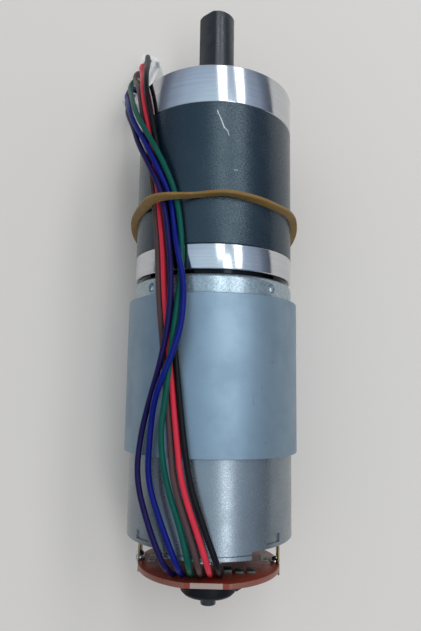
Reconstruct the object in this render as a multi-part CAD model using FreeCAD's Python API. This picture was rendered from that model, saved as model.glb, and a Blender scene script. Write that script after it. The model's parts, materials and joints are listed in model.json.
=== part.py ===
import FreeCAD, Part
import math
import os

from FreeCAD import Placement, Rotation, Vector

# Geared dc motor with a rear encoder and a wire lead. Millimetres.
# The output shaft points along +Y and the motor lies on its side, so +Z is up.
# The origin is on the shaft's axis, at the front face of the gearbox.

# The gearbox and the motor share one diameter. What has to fit inside it or round it is
# counted in steps, so that it follows. A step is half a millimetre at the real size.
CASING_RADIUS = 21.0
STEP = CASING_RADIUS / 42

# Gearbox casing
GEARBOX_RADIUS = CASING_RADIUS
CAP_LENGTH = 10.0
GEAR_CASE_LENGTH = 35.8
ADAPTER_LENGTH = 6.2
ADAPTER_STEP_LENGTH = 0.8
ADAPTER_STEP_RADIUS = 40 * STEP
CASING_CHAMFER = 0.4
JOINT_CHAMFER = 0.2
BOSS_RADIUS = 25 * STEP
BOSS_LENGTH = 2.0
MOUNT_CIRCLE_RADIUS = 32 * STEP
MOUNT_HOLE_RADIUS = 1.65
MOUNT_HOLE_DEPTH = 8.0
MOUNT_HOLE_COUNT = 4
CASING_SCREW_CIRCLE_RADIUS = 35.6 * STEP
CASING_SCREW_COUNT = 4
CASING_SCREW_RADIUS = 1.5
CASING_SCREW_HEAD_RADIUS = 5.5 * STEP
CASING_SCREW_HEAD_HEIGHT = 3.0
CASING_SCREW_GRIP = 6.5
CASING_SCREW_SOCKET_DEPTH = 1.3
TAPPED_HOLE_SPARE = 1.0
COUNTERSINK_DEPTH = 0.3

# Output bearings and shaft
OUTPUT_BEARING_BORE_RADIUS = 10 * STEP
OUTPUT_BEARING_RADIUS = 19 * STEP
OUTPUT_BEARING_WIDTH = 5.0
BEARING_SPACER_WIDTH = 0.8
LIP_RADIUS = 15.4 * STEP
SHAFT_REACH = 27.0
SHAFT_FLAT_LENGTH = 20.0
SHAFT_ACROSS_FLAT = 18 * STEP
SHAFT_FLAT_TURN = -40.0
SHAFT_CHAMFER = 0.6
CIRCLIP_WIDTH = 1.0
CIRCLIP_RADIUS = 13.2 * STEP
CIRCLIP_GROOVE_DEPTH = 0.35
CIRCLIP_GAP_WIDTH = 2.6

# Planetary gears, the same teeth in all three stages
GEAR_MODULE = 1.5 * STEP
PRESSURE_ANGLE = 25.0
SUN_TEETH = 15
PLANET_TEETH = 12
PLANET_COUNT = 3
BACKLASH = 0.12
TIP_CLEARANCE = 0.25
TOP_LAND_TRIM = 0.05
FLANK_STEPS = 2
FIRST_GEAR_WIDTH = 6.0
SECOND_GEAR_WIDTH = 6.5
THIRD_GEAR_WIDTH = 9.0
FIRST_CARRIER_THICKNESS = 2.5
SECOND_CARRIER_THICKNESS = 2.8
OUTPUT_CARRIER_THICKNESS = 5.0
CARRIER_RADIUS = 26.8 * STEP
STAGE_GAP = 0.25
THRUST_WASHER_THICKNESS = 0.5
THRUST_WASHER_BORE_RADIUS = 15 * STEP
PIN_RADIUS = 1.5
PIN_CLEARANCE = 0.03

# Motor casing
CAN_RADIUS = CASING_RADIUS
CAN_WALL = 1.2
CAN_FRONT_THICKNESS = 1.5
CAN_SIDE_LENGTH = 63.3
CAN_CORNER = 1.5
CAN_TONGUE_LENGTH = 1.8
CAN_TONGUE_HALF_ANGLE = 29.0
CAN_BOSS_RADIUS = 17.5 * STEP
CAN_BOSS_LENGTH = 4.3
CAN_BOSS_LIP = 0.8
PILOT_CLEARANCE = 0.05
MOTOR_SCREW_CIRCLE_RADIUS = 29 * STEP
MOTOR_SCREW_RADIUS = 2.0
MOTOR_SCREW_HEAD_RADIUS = 7.6 * STEP
MOTOR_SCREW_HEAD_HEIGHT = 2.6
MOTOR_SCREW_WELL_DEPTH = 3.0
SCREW_WELL_CLEARANCE = 0.3
CRIMP_WINDOW_ANGLE = 46.8
CRIMP_WINDOW_SPAN = 13.0
CRIMP_WINDOW_LENGTH = 2.0
CRIMP_WINDOW_FROM_RIM = 0.9
DIMPLE_ANGLE = 44.5
DIMPLE_RADIUS = 0.9
DIMPLE_FROM_FRONT = 2.8
FLUX_RING_THICKNESS = 1.4
FLUX_RING_LENGTH = 38.0
FLUX_RING_FROM_FRONT = 5.0
FLUX_RING_SEAM_ANGLE = 135.0
FLUX_RING_SEAM_WIDTH = 0.4
END_BELL_THICKNESS = 4.0
END_BELL_CLEARANCE = 0.1
END_BELL_HUB_RADIUS = 17 * STEP
END_BELL_HUB_LENGTH = 5.2

# Motor inside
MOTOR_BEARING_BORE_RADIUS = 2.5
MOTOR_BEARING_RADIUS = 14 * STEP
MOTOR_BEARING_WIDTH = 5.0
BEARING_RACE_WALL = 1.3
BEARING_INNER_WALL = 1.3
BEARING_SHIELD_THICKNESS = 0.4
BEARING_SHIELD_GAP = 0.12
ROTOR_SHAFT_RADIUS = MOTOR_BEARING_BORE_RADIUS
ENCODER_JOURNAL_RADIUS = 1.5
PINION_PAST_SHAFT = 0.3
PINION_REAR_OVERLAP = 0.7
MAGNET_THICKNESS = 8 * STEP
MAGNET_SPAN = 128.0
MAGNET_LENGTH = 38.5
MAGNET_FROM_FRONT = 5.7
MAGNET_CLIP_THICKNESS = 0.6
MAGNET_CLIP_SETBACK = 4.0
AIR_GAP = 0.5
ARMATURE_LENGTH = 34.0
ARMATURE_SLOTS = 5
TOOTH_WIDTH = 10 * STEP
TOOTH_TIP_THICKNESS = 3.6 * STEP
SLOT_OPENING = 2.2
ARMATURE_HUB_RADIUS = 13.2 * STEP
INSULATOR_THICKNESS = 0.8
WINDING_THICKNESS = 6 * STEP
WINDING_OVERHANG = 3.6
WINDING_CLEARANCE = 0.3
WINDING_CORNER = 4.8 * STEP
COIL_GAP_ANGLE = 2.0
COMMUTATOR_RADIUS = 11 * STEP
COMMUTATOR_LENGTH = 9.0
COMMUTATOR_GAP = 0.5
COMMUTATOR_HUB_RADIUS = 7.6 * STEP
COMMUTATOR_SLEEVE_FRONT = 1.5
COMMUTATOR_SLEEVE_REAR = 0.5
COMMUTATOR_FROM_CORE = 6.0
RISER_RADIUS = 14 * STEP
RISER_LENGTH = 1.2
BRUSH_LENGTH = 12 * STEP
BRUSH_WIDTH = 5.0
BRUSH_AXIAL = 4.0
BRUSH_CLEARANCE = 0.05
BRUSH_FROM_BELL = 1.4
HOLDER_WALL = 0.6
HOLDER_LENGTH = 14.8 * STEP
HOLDER_FROM_RISER = 0.6
BRUSH_SPRING_THICKNESS = 0.35
BRUSH_SPRING_SIDE_GAP = 0.3
BRUSH_SPRING_END_GAP = 0.5
TERMINAL_PLACE = 35.2 * STEP
TERMINAL_THICKNESS = 0.5
TERMINAL_WIDTH = 4.8
TERMINAL_PAST_BOARD = 1.4
TERMINAL_FOOT_THICKNESS = 0.5
TERMINAL_HOLE_RADIUS = 0.9
TERMINAL_HOLE_FROM_END = 3.6

# Encoder
BOARD_RADIUS = 36 * STEP
BOARD_THICKNESS = 1.2
BOARD_FROM_CAN_RIM = 7.3
BOARD_FLAT_HEIGHT = 34.4 * STEP
BOARD_BORE_RADIUS = 4.0
WIRE_ROW_HEIGHT = 24.4 * STEP
WIRE_ROW_PITCH = 2.1
WIRE_ROW_START = -7.6
WIRE_HOLE_RADIUS = 0.45
MAGNET_WHEEL_RADIUS = 7.1
MAGNET_WHEEL_LENGTH = 4.7
MAGNET_WHEEL_FROM_BOARD = 1.8
MAGNET_WHEEL_CHAMFER = 0.8
WHEEL_HUB_RADIUS = 3.0
WHEEL_HUB_FRONT = 0.7
WHEEL_STUB_RADIUS = 1.95
WHEEL_STUB_LENGTH = 2.8
HALL_SENSOR_SIZE = (4.0, 3.0, 1.5)
HALL_SENSOR_GAP = 0.9
HALL_SENSOR_STANDOFF = 1.2
HALL_SENSOR_ANGLES = (60.0, 105.0)
HALL_LEAD_RADIUS = 0.2
HALL_LEAD_PITCH = 1.27
TERMINAL_BLOB_RADIUS = 3.8 * STEP
TERMINAL_BLOB_TOP_RADIUS = 1.8 * STEP
TERMINAL_BLOB_HEIGHT = 1.6
WIRE_JOINT_RADIUS = 0.85
WIRE_JOINT_TOP_RADIUS = 0.35
WIRE_JOINT_HEIGHT = 0.9
# Places on the board are counted in steps, across and up
PAD_SIZE = (4 * STEP, 11.6 * STEP, 0.15)
PAD_PLACES = ((28.6, -5.6), (-28.6, -0.4))
CAPACITOR_SIZE = (2.0, 3.2, 0.9)
CAPACITOR_PLACES = ((9.6, 18.0),)
RESISTOR_SIZE = (2.0, 3.2, 0.6)
RESISTOR_PLACES = ((15.2, 18.0), (20.8, 17.2))

# Lead, plug and rubber band
WIRE_DIAMETER = 1.4
TABLE_HEIGHT = -(CAN_RADIUS + FLUX_RING_THICKNESS)
PLUG_WAYS = 6
PLUG_PITCH = 2.5
PLUG_END = 2.4
PLUG_THICKNESS = 5.75
PLUG_HEIGHT = 9.8
PLUG_CORNER = (-41.8 * STEP, 24.2)
PLUG_TURN = -111.9
PLUG_CAVITY_WIDTH = 1.9
PLUG_CAVITY_DEPTH = 8.2
PLUG_POST_HOLE = 1.0
PLUG_CAVITY_SHIFT = -0.4
PLUG_WINDOW_HEIGHT = 2.4
PLUG_WINDOW_WIDTH = 1.3
PLUG_WINDOW_FROM_TABLE = 4.2
PLUG_RIB = 0.6
PLUG_WAIST_DEPTH = 0.9
PLUG_WAIST_HEIGHT = 3.0
CONTACT_SIZE = 1.5
CONTACT_WALL = 0.25
CONTACT_LENGTH = 5.6
CONTACT_BARREL_LENGTH = 1.6
WIRE_DEPTH_IN_PLUG = 2.2
BAND_THICKNESS = 1.1
BAND_WIDTH = 2.3
BAND_CLEARANCE = 0.15
BAND_CENTRE = -38.4
BAND_TILT = 13.9
BAND_OVER_WIRES_ANGLE = -31.5
BAND_BULGE_RADIUS = 12 * STEP
BAND_BULGE_RISE = 3.6

# How far a cutting tool reaches past what it cuts, the widest wedge that is cut with
# three corners, and how near two lengths are when they count as the same
OVERCUT = 1.0
WEDGE_LIMIT = 60.0
SAME_LENGTH = 0.001

# Places along the shaft, worked out from the lengths above
CASE_FRONT = -CAP_LENGTH
CASE_REAR = CASE_FRONT - GEAR_CASE_LENGTH
ADAPTER_REAR = CASE_REAR - ADAPTER_LENGTH
CAN_FRONT = ADAPTER_REAR - ADAPTER_STEP_LENGTH
CAN_RIM = CAN_FRONT - CAN_SIDE_LENGTH
CAN_TONGUE_RIM = CAN_RIM - CAN_TONGUE_LENGTH
BELL_REAR = CAN_RIM
BELL_FRONT = BELL_REAR + END_BELL_THICKNESS
BOARD_FRONT = CAN_RIM - BOARD_FROM_CAN_RIM
BOARD_REAR = BOARD_FRONT - BOARD_THICKNESS
CAN_BORE_RADIUS = CAN_RADIUS - CAN_WALL
CORE_RADIUS = CAN_BORE_RADIUS - MAGNET_THICKNESS - AIR_GAP
MAGNET_FRONT = CAN_FRONT - MAGNET_FROM_FRONT
CORE_FRONT = MAGNET_FRONT - (MAGNET_LENGTH - ARMATURE_LENGTH) / 2
CORE_REAR = CORE_FRONT - ARMATURE_LENGTH
COMMUTATOR_FRONT = CORE_REAR - COMMUTATOR_FROM_CORE

# Gear sizes, worked out from the tooth counts
RING_TEETH = SUN_TEETH + 2 * PLANET_TEETH
GEAR_CENTRES = GEAR_MODULE * (SUN_TEETH + PLANET_TEETH) / 2
FIRST_PLANET_REAR = CASE_REAR + THRUST_WASHER_THICKNESS + STAGE_GAP
FIRST_CARRIER_REAR = FIRST_PLANET_REAR + FIRST_GEAR_WIDTH + STAGE_GAP
SECOND_PLANET_REAR = FIRST_CARRIER_REAR + FIRST_CARRIER_THICKNESS + STAGE_GAP
SECOND_CARRIER_REAR = SECOND_PLANET_REAR + SECOND_GEAR_WIDTH + STAGE_GAP
THIRD_PLANET_REAR = SECOND_CARRIER_REAR + SECOND_CARRIER_THICKNESS + STAGE_GAP
OUTPUT_CARRIER_REAR = THIRD_PLANET_REAR + THIRD_GEAR_WIDTH + STAGE_GAP

# The lead's route, wire by wire. Points over the body are (along the shaft, degrees
# round from the top towards +X, distance from the axis), the others are (x, y, z).
# The height over the casing is chosen so that the upper wires cross the lower ones.
# The points suit ROUTE_CASING_RADIUS, and spread across and up with another casing.
WIRE_NAMES = ("violet", "blue", "green", "brown", "red", "black")
OVER_THE_BODY = {
    "violet": [
        (-118.6, -30.8, 22.9), (-111, -36, 23.0), (-101, -46.5, 23.3), (-91, -43, 23.4),
        (-82.5, -35, 23.9), (-75, -26.8, 25.1), (-66, -22.5, 25.1), (-56.5, -21.2, 25.0),
        (-47, -24.9, 23.4), (-34, -30.5, 23.6), (-25.5, -41, 24.0), (-18, -54.5, 23.9),
        (-11, -69.5, 23.6), (-4, -84.5, 25.2),
    ],
    "blue": [
        (-118.6, -20, 22.9), (-111, -26, 23.0), (-101, -36.7, 23.3), (-91, -34.5, 23.7),
        (-84.5, -30.5, 25.0), (-79.5, -24.8, 26.7), (-72.5, -17.8, 26.7), (-65, -14.4, 25.0),
        (-55.5, -14.4, 24.3), (-48.5, -18.6, 24.4), (-41, -24.6, 22.2), (-34, -27.1, 22.0),
        (-25.5, -36, 23.9), (-17.5, -49, 24.0), (-10.5, -65.0, 24.2), (-4, -79.2, 24.5),
    ],
    "green": [
        (-118.6, -11.8, 22.9), (-111, -15.7, 23.0), (-101, -24.6, 23.3), (-91, -26.0, 24.8),
        (-82.5, -23.0, 25.0), (-74, -21.0, 25.0), (-64, -18.5, 24.8), (-54, -18.0, 22.7),
        (-45, -18.5, 22.0), (-34, -22.9, 22.0), (-25.5, -31.2, 23.2), (-18, -42, 23.8),
        (-11, -57.3, 24.0), (-4.5, -73.4, 23.75),
    ],
    "brown": [
        (-118.6, -6.0, 22.9), (-111, -10.8, 23.0), (-101, -19.2, 23.3), (-91, -21.6, 23.4),
        (-80, -25.0, 23.4), (-68, -28.6, 23.4), (-57, -31.8, 23.6), (-47, -36.2, 22.1),
        (-34, -41.2, 22.0), (-22, -48.0, 22.0), (-13, -58.0, 22.0), (-4, -70.3, 22.2),
    ],
    "red": [
        (-118.6, -0.3, 22.9), (-111, -5.8, 23.0), (-101, -14.4, 23.3), (-91, -17.6, 23.4),
        (-80, -21.0, 23.4), (-68, -24.7, 23.4), (-57, -27.8, 23.6), (-47, -32.0, 22.1),
        (-34, -37.1, 22.0), (-22, -43.7, 22.0), (-13, -53.0, 22.0), (-4, -65.4, 22.2),
    ],
    "black": [
        (-118.6, 5.4, 22.9), (-111, -0.3, 23.0), (-101, -9.2, 23.3), (-91, -13.6, 23.4),
        (-80, -17.1, 23.4), (-68, -20.8, 23.4), (-57, -23.8, 23.6), (-47, -27.8, 22.1),
        (-34, -33.0, 22.0), (-22, -39.5, 22.0), (-13, -48.0, 22.0), (-4, -60.6, 22.5),
    ],
}
OUT_OF_THE_BOARD = {
    "violet": [(-7.6, -121.5, 12.2), (-9.2, -120.6, 15.6)],
    "blue": [(-5.5, -121.5, 12.2), (-6.5, -120.6, 16.0)],
    "green": [(-3.4, -121.5, 12.2), (-3.9, -120.6, 16.2)],
    "brown": [(-1.3, -121.5, 12.2), (-1.7, -120.6, 16.3)],
    "red": [(0.8, -121.5, 12.2), (0.5, -120.6, 16.3)],
    "black": [(2.9, -121.5, 12.2), (2.7, -120.6, 16.2)],
}
DOWN_TO_THE_PLUG = {
    "violet": [(-27.4, 1.0, -2.6), (-28.6, 4.4, -5.6), (-27.9, 7.8, -8.4)],
    "blue": [(-25.9, 1.9, -2.0), (-27.1, 6.2, -5.4), (-26.6, 10.0, -8.2)],
    "green": [(-24.5, 2.6, -1.0), (-25.7, 8.0, -5.0), (-25.4, 12.3, -8.0)],
    "brown": [(-23.3, 3.4, 0.4), (-24.5, 9.8, -4.4), (-24.2, 14.6, -7.6)],
    "red": [(-22.2, 4.0, 2.1), (-23.2, 11.5, -3.7), (-22.9, 16.8, -7.2)],
    "black": [(-21.5, 4.5, 4.3), (-21.9, 12.5, -0.5), (-21.6, 18.8, -6.0)],
}
WIRE_ABOVE_PLUG = 1.7
ROUTE_CASING_RADIUS = 21.0
CORNER_SHARE = 0.45

AXIS = Vector(0, 1, 0)
CENTRE = Vector(0, 0, 0)


def save(shape, name):
    shape.exportStep("parts/" + name + ".step")
    print(name, len(shape.Solids), round(shape.Volume, 2))


def cylinder(radius, rear, front, x=0.0, z=0.0):
    return Part.makeCylinder(radius, front - rear, Vector(x, rear, z), AXIS)


def tube(outer, inner, rear, front):
    return cylinder(outer, rear, front).cut(cylinder(inner, rear, front))


def cone(rear_radius, front_radius, rear, front, x=0.0, z=0.0):
    return Part.makeCone(rear_radius, front_radius, front - rear, Vector(x, rear, z), AXIS)


def block(x_low, x_high, y_low, y_high, z_low, z_high):
    size = (x_high - x_low, y_high - y_low, z_high - z_low)
    return Part.makeBox(*size, Vector(x_low, y_low, z_low))


def turned(shape, degrees):
    """A copy turned about the shaft's axis, from the top towards +X."""
    copy = shape.copy()
    copy.rotate(CENTRE, AXIS, degrees)
    return copy


def pattern(shape, count, first=0.0):
    return [turned(shape, first + i * 360.0 / count) for i in range(count)]


def group(solids):
    return Part.makeCompound(solids)


def ring_of_points(radius, degrees):
    turn = math.radians(degrees)
    return radius * math.sin(turn), radius * math.cos(turn)


def turned_profile(points):
    """A body turned from (radius, along the shaft) points that close on themselves."""
    corners = [Vector(radius, along, 0) for radius, along in points]
    face = Part.Face(Part.makePolygon(corners + corners[:1]))
    return face.revolve(CENTRE, AXIS, 360)


def sector(radius, half_angle, rear, front, turn):
    """A wedge round the axis, half_angle degrees to each side of its turn."""
    steps = 1 if half_angle <= WEDGE_LIMIT else 4
    step = 2 * half_angle / steps
    reach = radius / math.cos(math.radians(step / 2))
    turns = [turn - half_angle + k * step for k in range(steps + 1)]
    spread = [ring_of_points(reach, place) for place in turns]
    corners = [Vector(0, rear, 0)] + [Vector(x, rear, z) for x, z in spread]
    face = Part.Face(Part.makePolygon(corners + corners[:1]))
    return face.extrude(Vector(0, front - rear, 0))


# Gear teeth


def involute(angle):
    return math.tan(angle) - angle


def tooth_half_angle(teeth, radius, thinning):
    """Half of a tooth's thickness at a radius, in radians round the gear's axis."""
    pitch_radius = GEAR_MODULE * teeth / 2
    base_radius = pitch_radius * math.cos(math.radians(PRESSURE_ANGLE))
    at_radius = math.acos(min(1.0, base_radius / radius))
    half_pitch = math.pi / (2 * teeth) - thinning / (2 * pitch_radius)
    return half_pitch + involute(math.radians(PRESSURE_ANGLE)) - involute(at_radius)


def gear_outline(teeth, tip_radius, root_radius, thinning, phase):
    """One closed outline with involute flanks. A ring gear's outline is its space's."""
    base_radius = GEAR_MODULE * teeth / 2 * math.cos(math.radians(PRESSURE_ANGLE))
    flank_start = max(root_radius, base_radius)
    step = (tip_radius - flank_start) / FLANK_STEPS
    heights = [flank_start + step * k for k in range(FLANK_STEPS + 1)]
    rising = [(root_radius, tooth_half_angle(teeth, flank_start, thinning))]
    if flank_start == root_radius:
        rising = []
    rising += [(height, tooth_half_angle(teeth, height, thinning)) for height in heights]
    corners = []
    for tooth in range(teeth):
        middle = phase + 2 * math.pi * tooth / teeth
        corners += [(radius, middle - half) for radius, half in rising]
        corners += [(radius, middle + half) for radius, half in reversed(rising)]
    points = []
    for radius, turn in corners:
        points.append(Vector(radius * math.sin(turn), 0, radius * math.cos(turn)))
    return Part.makePolygon(points + points[:1])


def gear_body(outline, rear, front):
    face = Part.Face(outline)
    face.translate(Vector(0, rear, 0))
    return face.extrude(Vector(0, front - rear, 0))


def sun_gear(rear, front, phase=0.0):
    pitch_radius = GEAR_MODULE * SUN_TEETH / 2
    tip = pitch_radius + GEAR_MODULE - TOP_LAND_TRIM
    root = pitch_radius - GEAR_MODULE * (1 + TIP_CLEARANCE)
    return gear_body(gear_outline(SUN_TEETH, tip, root, BACKLASH, phase), rear, front)


def ring_space(rear, front):
    """The space inside the ring gear, turned so that it meets the first planet's teeth."""
    pitch_radius = GEAR_MODULE * RING_TEETH / 2
    phase = math.pi * (PLANET_TEETH + 1) / RING_TEETH
    tip = pitch_radius + GEAR_MODULE * (1 + TIP_CLEARANCE)
    root = pitch_radius - GEAR_MODULE + TOP_LAND_TRIM
    return gear_body(gear_outline(RING_TEETH, tip, root, -BACKLASH, phase), rear, front)


def planet_phase(planet_turn):
    """The turn that sets a planet's gap on the sun's tooth, at its place round the sun."""
    gear_ratio = SUN_TEETH / PLANET_TEETH
    facing = planet_turn + math.pi
    half_tooth = math.pi / PLANET_TEETH
    return facing + half_tooth + planet_turn * gear_ratio


def planet_gear(number, rear, width):
    """A planet with its bore, on its own pin's place round the shaft."""
    planet_turn = 2 * math.pi * number / PLANET_COUNT
    pitch_radius = GEAR_MODULE * PLANET_TEETH / 2
    tip = pitch_radius + GEAR_MODULE - TOP_LAND_TRIM
    root = pitch_radius - GEAR_MODULE * (1 + TIP_CLEARANCE)
    outline = gear_outline(PLANET_TEETH, tip, root, BACKLASH, planet_phase(planet_turn))
    body = gear_body(outline, rear, rear + width)
    body = body.cut(cylinder(PIN_RADIUS + PIN_CLEARANCE, rear, rear + width))
    x, z = ring_of_points(GEAR_CENTRES, math.degrees(planet_turn))
    body.translate(Vector(x, 0, z))
    return body


def carrier_pins(disc_front, planet_rear):
    x, z = ring_of_points(GEAR_CENTRES, 0.0)
    return group(pattern(cylinder(PIN_RADIUS, planet_rear, disc_front, x, z), PLANET_COUNT))


def carrier_disc(rear, thickness):
    disc = cylinder(CARRIER_RADIUS, rear, rear + thickness)
    x, z = ring_of_points(GEAR_CENTRES, 0.0)
    for hole in pattern(cylinder(PIN_RADIUS, rear, rear + thickness, x, z), PLANET_COUNT):
        disc = disc.cut(hole)
    return disc


def stage_carrier(rear, thickness, next_planet_rear, next_width):
    """A carrier disc with the next stage's sun on its front, in one piece."""
    sun = sun_gear(rear + thickness, next_planet_rear + next_width)
    return carrier_disc(rear, thickness).fuse(sun).removeSplitter()


def first_carrier():
    return stage_carrier(FIRST_CARRIER_REAR, FIRST_CARRIER_THICKNESS,
                         SECOND_PLANET_REAR, SECOND_GEAR_WIDTH)


def first_carrier_pins():
    return carrier_pins(FIRST_CARRIER_REAR + FIRST_CARRIER_THICKNESS, FIRST_PLANET_REAR)


def second_carrier():
    return stage_carrier(SECOND_CARRIER_REAR, SECOND_CARRIER_THICKNESS,
                         THIRD_PLANET_REAR, THIRD_GEAR_WIDTH)


def second_carrier_pins():
    return carrier_pins(SECOND_CARRIER_REAR + SECOND_CARRIER_THICKNESS, SECOND_PLANET_REAR)


def output_carrier_pins():
    return carrier_pins(OUTPUT_CARRIER_REAR + OUTPUT_CARRIER_THICKNESS, THIRD_PLANET_REAR)


# Gearbox casing


def casing_screw_places():
    turns = [45.0 + i * 360.0 / CASING_SCREW_COUNT for i in range(CASING_SCREW_COUNT)]
    return [ring_of_points(CASING_SCREW_CIRCLE_RADIUS, turn) for turn in turns]


def front_cap():
    body = turned_profile([
        (0, -CAP_LENGTH),
        (GEARBOX_RADIUS - JOINT_CHAMFER, -CAP_LENGTH),
        (GEARBOX_RADIUS, -CAP_LENGTH + JOINT_CHAMFER),
        (GEARBOX_RADIUS, -CASING_CHAMFER),
        (GEARBOX_RADIUS - CASING_CHAMFER, 0),
        (BOSS_RADIUS, 0),
        (BOSS_RADIUS, BOSS_LENGTH - CASING_CHAMFER),
        (BOSS_RADIUS - CASING_CHAMFER, BOSS_LENGTH),
        (0, BOSS_LENGTH),
    ])
    pocket_front = -CAP_LENGTH + 2 * OUTPUT_BEARING_WIDTH + BEARING_SPACER_WIDTH
    body = body.cut(cylinder(OUTPUT_BEARING_RADIUS, -CAP_LENGTH, pocket_front))
    body = body.cut(cylinder(LIP_RADIUS, pocket_front, BOSS_LENGTH))
    x, z = ring_of_points(MOUNT_CIRCLE_RADIUS, 0.0)
    hole = cylinder(MOUNT_HOLE_RADIUS, -MOUNT_HOLE_DEPTH, 0, x, z)
    for place in pattern(hole, MOUNT_HOLE_COUNT):
        body = body.cut(place)
    for x, z in casing_screw_places():
        body = body.cut(cylinder(CASING_SCREW_RADIUS, -CAP_LENGTH, 0, x, z))
        body = body.cut(countersink(x, z, 0.0))
    return body


def countersink(x, z, sunk):
    """The cone of a countersunk head whose top lies sunk below the cap's face."""
    drop = CASING_SCREW_HEAD_RADIUS - CASING_SCREW_RADIUS
    well = cylinder(CASING_SCREW_HEAD_RADIUS, -COUNTERSINK_DEPTH, -sunk, x, z)
    slope = cone(CASING_SCREW_RADIUS, CASING_SCREW_HEAD_RADIUS,
                 -COUNTERSINK_DEPTH - drop, -COUNTERSINK_DEPTH, x, z)
    if sunk >= COUNTERSINK_DEPTH:
        return slope
    return slope.fuse(well).removeSplitter()


def hexagon_socket(x, z, across, deep_end, open_end):
    corners = []
    for k in range(6):
        aside, up = ring_of_points(across / 2, 60.0 * k)
        corners.append(Vector(x + aside, deep_end, z + up))
    face = Part.Face(Part.makePolygon(corners + corners[:1]))
    return face.extrude(Vector(0, open_end - deep_end, 0))


def cap_screws():
    screws = []
    for x, z in casing_screw_places():
        tip = CASE_FRONT - CASING_SCREW_GRIP
        shank = cylinder(CASING_SCREW_RADIUS, tip, -COUNTERSINK_DEPTH, x, z)
        screw = shank.fuse(countersink(x, z, COUNTERSINK_DEPTH)).removeSplitter()
        bottom = -COUNTERSINK_DEPTH - CASING_SCREW_SOCKET_DEPTH
        socket = hexagon_socket(x, z, CASING_SCREW_HEAD_RADIUS, bottom, 0)
        screws.append(screw.cut(socket))
    return group(screws)


def chamfered_drum(rear, front):
    """A drum of the gearbox's diameter with both its edges broken."""
    edge = GEARBOX_RADIUS - JOINT_CHAMFER
    return turned_profile([
        (0, rear),
        (edge, rear),
        (GEARBOX_RADIUS, rear + JOINT_CHAMFER),
        (GEARBOX_RADIUS, front - JOINT_CHAMFER),
        (edge, front),
        (0, front),
    ])


def gear_case():
    body = chamfered_drum(CASE_REAR, CASE_FRONT)
    body = body.cut(ring_space(CASE_REAR, CASE_FRONT))
    depth = CASING_SCREW_GRIP + TAPPED_HOLE_SPARE
    for x, z in casing_screw_places():
        body = body.cut(cylinder(CASING_SCREW_RADIUS, CASE_FRONT - depth, CASE_FRONT, x, z))
        body = body.cut(cylinder(CASING_SCREW_RADIUS, CASE_REAR, CASE_REAR + depth, x, z))
    return body


def motor_screw_places():
    return [ring_of_points(MOTOR_SCREW_CIRCLE_RADIUS, turn) for turn in (90.0, 270.0)]


def adapter_plate():
    body = chamfered_drum(ADAPTER_REAR, CASE_REAR)
    body = body.fuse(cylinder(ADAPTER_STEP_RADIUS, CAN_FRONT, ADAPTER_REAR))
    boss_front = CAN_FRONT + CAN_BOSS_LENGTH + STAGE_GAP
    body = body.cut(cylinder(CAN_BOSS_RADIUS + PILOT_CLEARANCE, CAN_FRONT, boss_front))
    body = body.cut(cylinder(THRUST_WASHER_BORE_RADIUS, boss_front, CASE_REAR))
    for x, z in motor_screw_places():
        well = MOTOR_SCREW_HEAD_RADIUS + SCREW_WELL_CLEARANCE
        body = body.cut(cylinder(well, CASE_REAR - MOTOR_SCREW_WELL_DEPTH, CASE_REAR, x, z))
        body = body.cut(cylinder(MOTOR_SCREW_RADIUS, CAN_FRONT, CASE_REAR, x, z))
    for x, z in casing_screw_places():
        head_front = CASE_REAR - CASING_SCREW_HEAD_HEIGHT
        body = body.cut(cylinder(CASING_SCREW_HEAD_RADIUS, CAN_FRONT, head_front, x, z))
        body = body.cut(cylinder(CASING_SCREW_RADIUS, head_front, CASE_REAR, x, z))
    return body.removeSplitter()


def adapter_screws():
    screws = []
    for x, z in casing_screw_places():
        head_front = CASE_REAR - CASING_SCREW_HEAD_HEIGHT
        head_rear = head_front - CASING_SCREW_HEAD_HEIGHT
        head = cylinder(CASING_SCREW_HEAD_RADIUS, head_rear, head_front, x, z)
        shank = cylinder(CASING_SCREW_RADIUS, head_front, CASE_REAR + CASING_SCREW_GRIP, x, z)
        bottom = head_rear + CASING_SCREW_SOCKET_DEPTH
        socket = hexagon_socket(x, z, CASING_SCREW_HEAD_RADIUS, bottom, head_rear)
        screws.append(head.fuse(shank).removeSplitter().cut(socket))
    return group(screws)


def motor_screws():
    screws = []
    for x, z in motor_screw_places():
        seat = CASE_REAR - MOTOR_SCREW_WELL_DEPTH
        head = cylinder(MOTOR_SCREW_HEAD_RADIUS, seat, seat + MOTOR_SCREW_HEAD_HEIGHT, x, z)
        shank = cylinder(MOTOR_SCREW_RADIUS, CAN_FRONT - CAN_FRONT_THICKNESS, seat, x, z)
        screws.append(head.fuse(shank).removeSplitter())
    return group(screws)


# Bearings


def bearing_outer(radius, bore_radius, rear, width):
    """An outer race with its two shields, which stop just short of the inner race."""
    front = rear + width
    race_bore = radius - BEARING_RACE_WALL
    shield_bore = bore_radius + BEARING_INNER_WALL + BEARING_SHIELD_GAP
    race = tube(radius, race_bore, rear, front)
    rear_shield = tube(race_bore, shield_bore, rear, rear + BEARING_SHIELD_THICKNESS)
    front_shield = tube(race_bore, shield_bore, front - BEARING_SHIELD_THICKNESS, front)
    return race.fuse([rear_shield, front_shield]).removeSplitter()


def bearing_inner(bore_radius, rear, width):
    return tube(bore_radius + BEARING_INNER_WALL, bore_radius, rear, rear + width)


def output_bearing_places():
    first = -CAP_LENGTH
    return [first, first + OUTPUT_BEARING_WIDTH + BEARING_SPACER_WIDTH]


def motor_bearing_places():
    front = CAN_FRONT + CAN_BOSS_LENGTH - CAN_BOSS_LIP - MOTOR_BEARING_WIDTH
    rear = BELL_REAR - END_BELL_HUB_LENGTH + CAN_BOSS_LIP
    return [front, rear]


def outer_races(radius, bore, width, places):
    return group([bearing_outer(radius, bore, rear, width) for rear in places])


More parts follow.
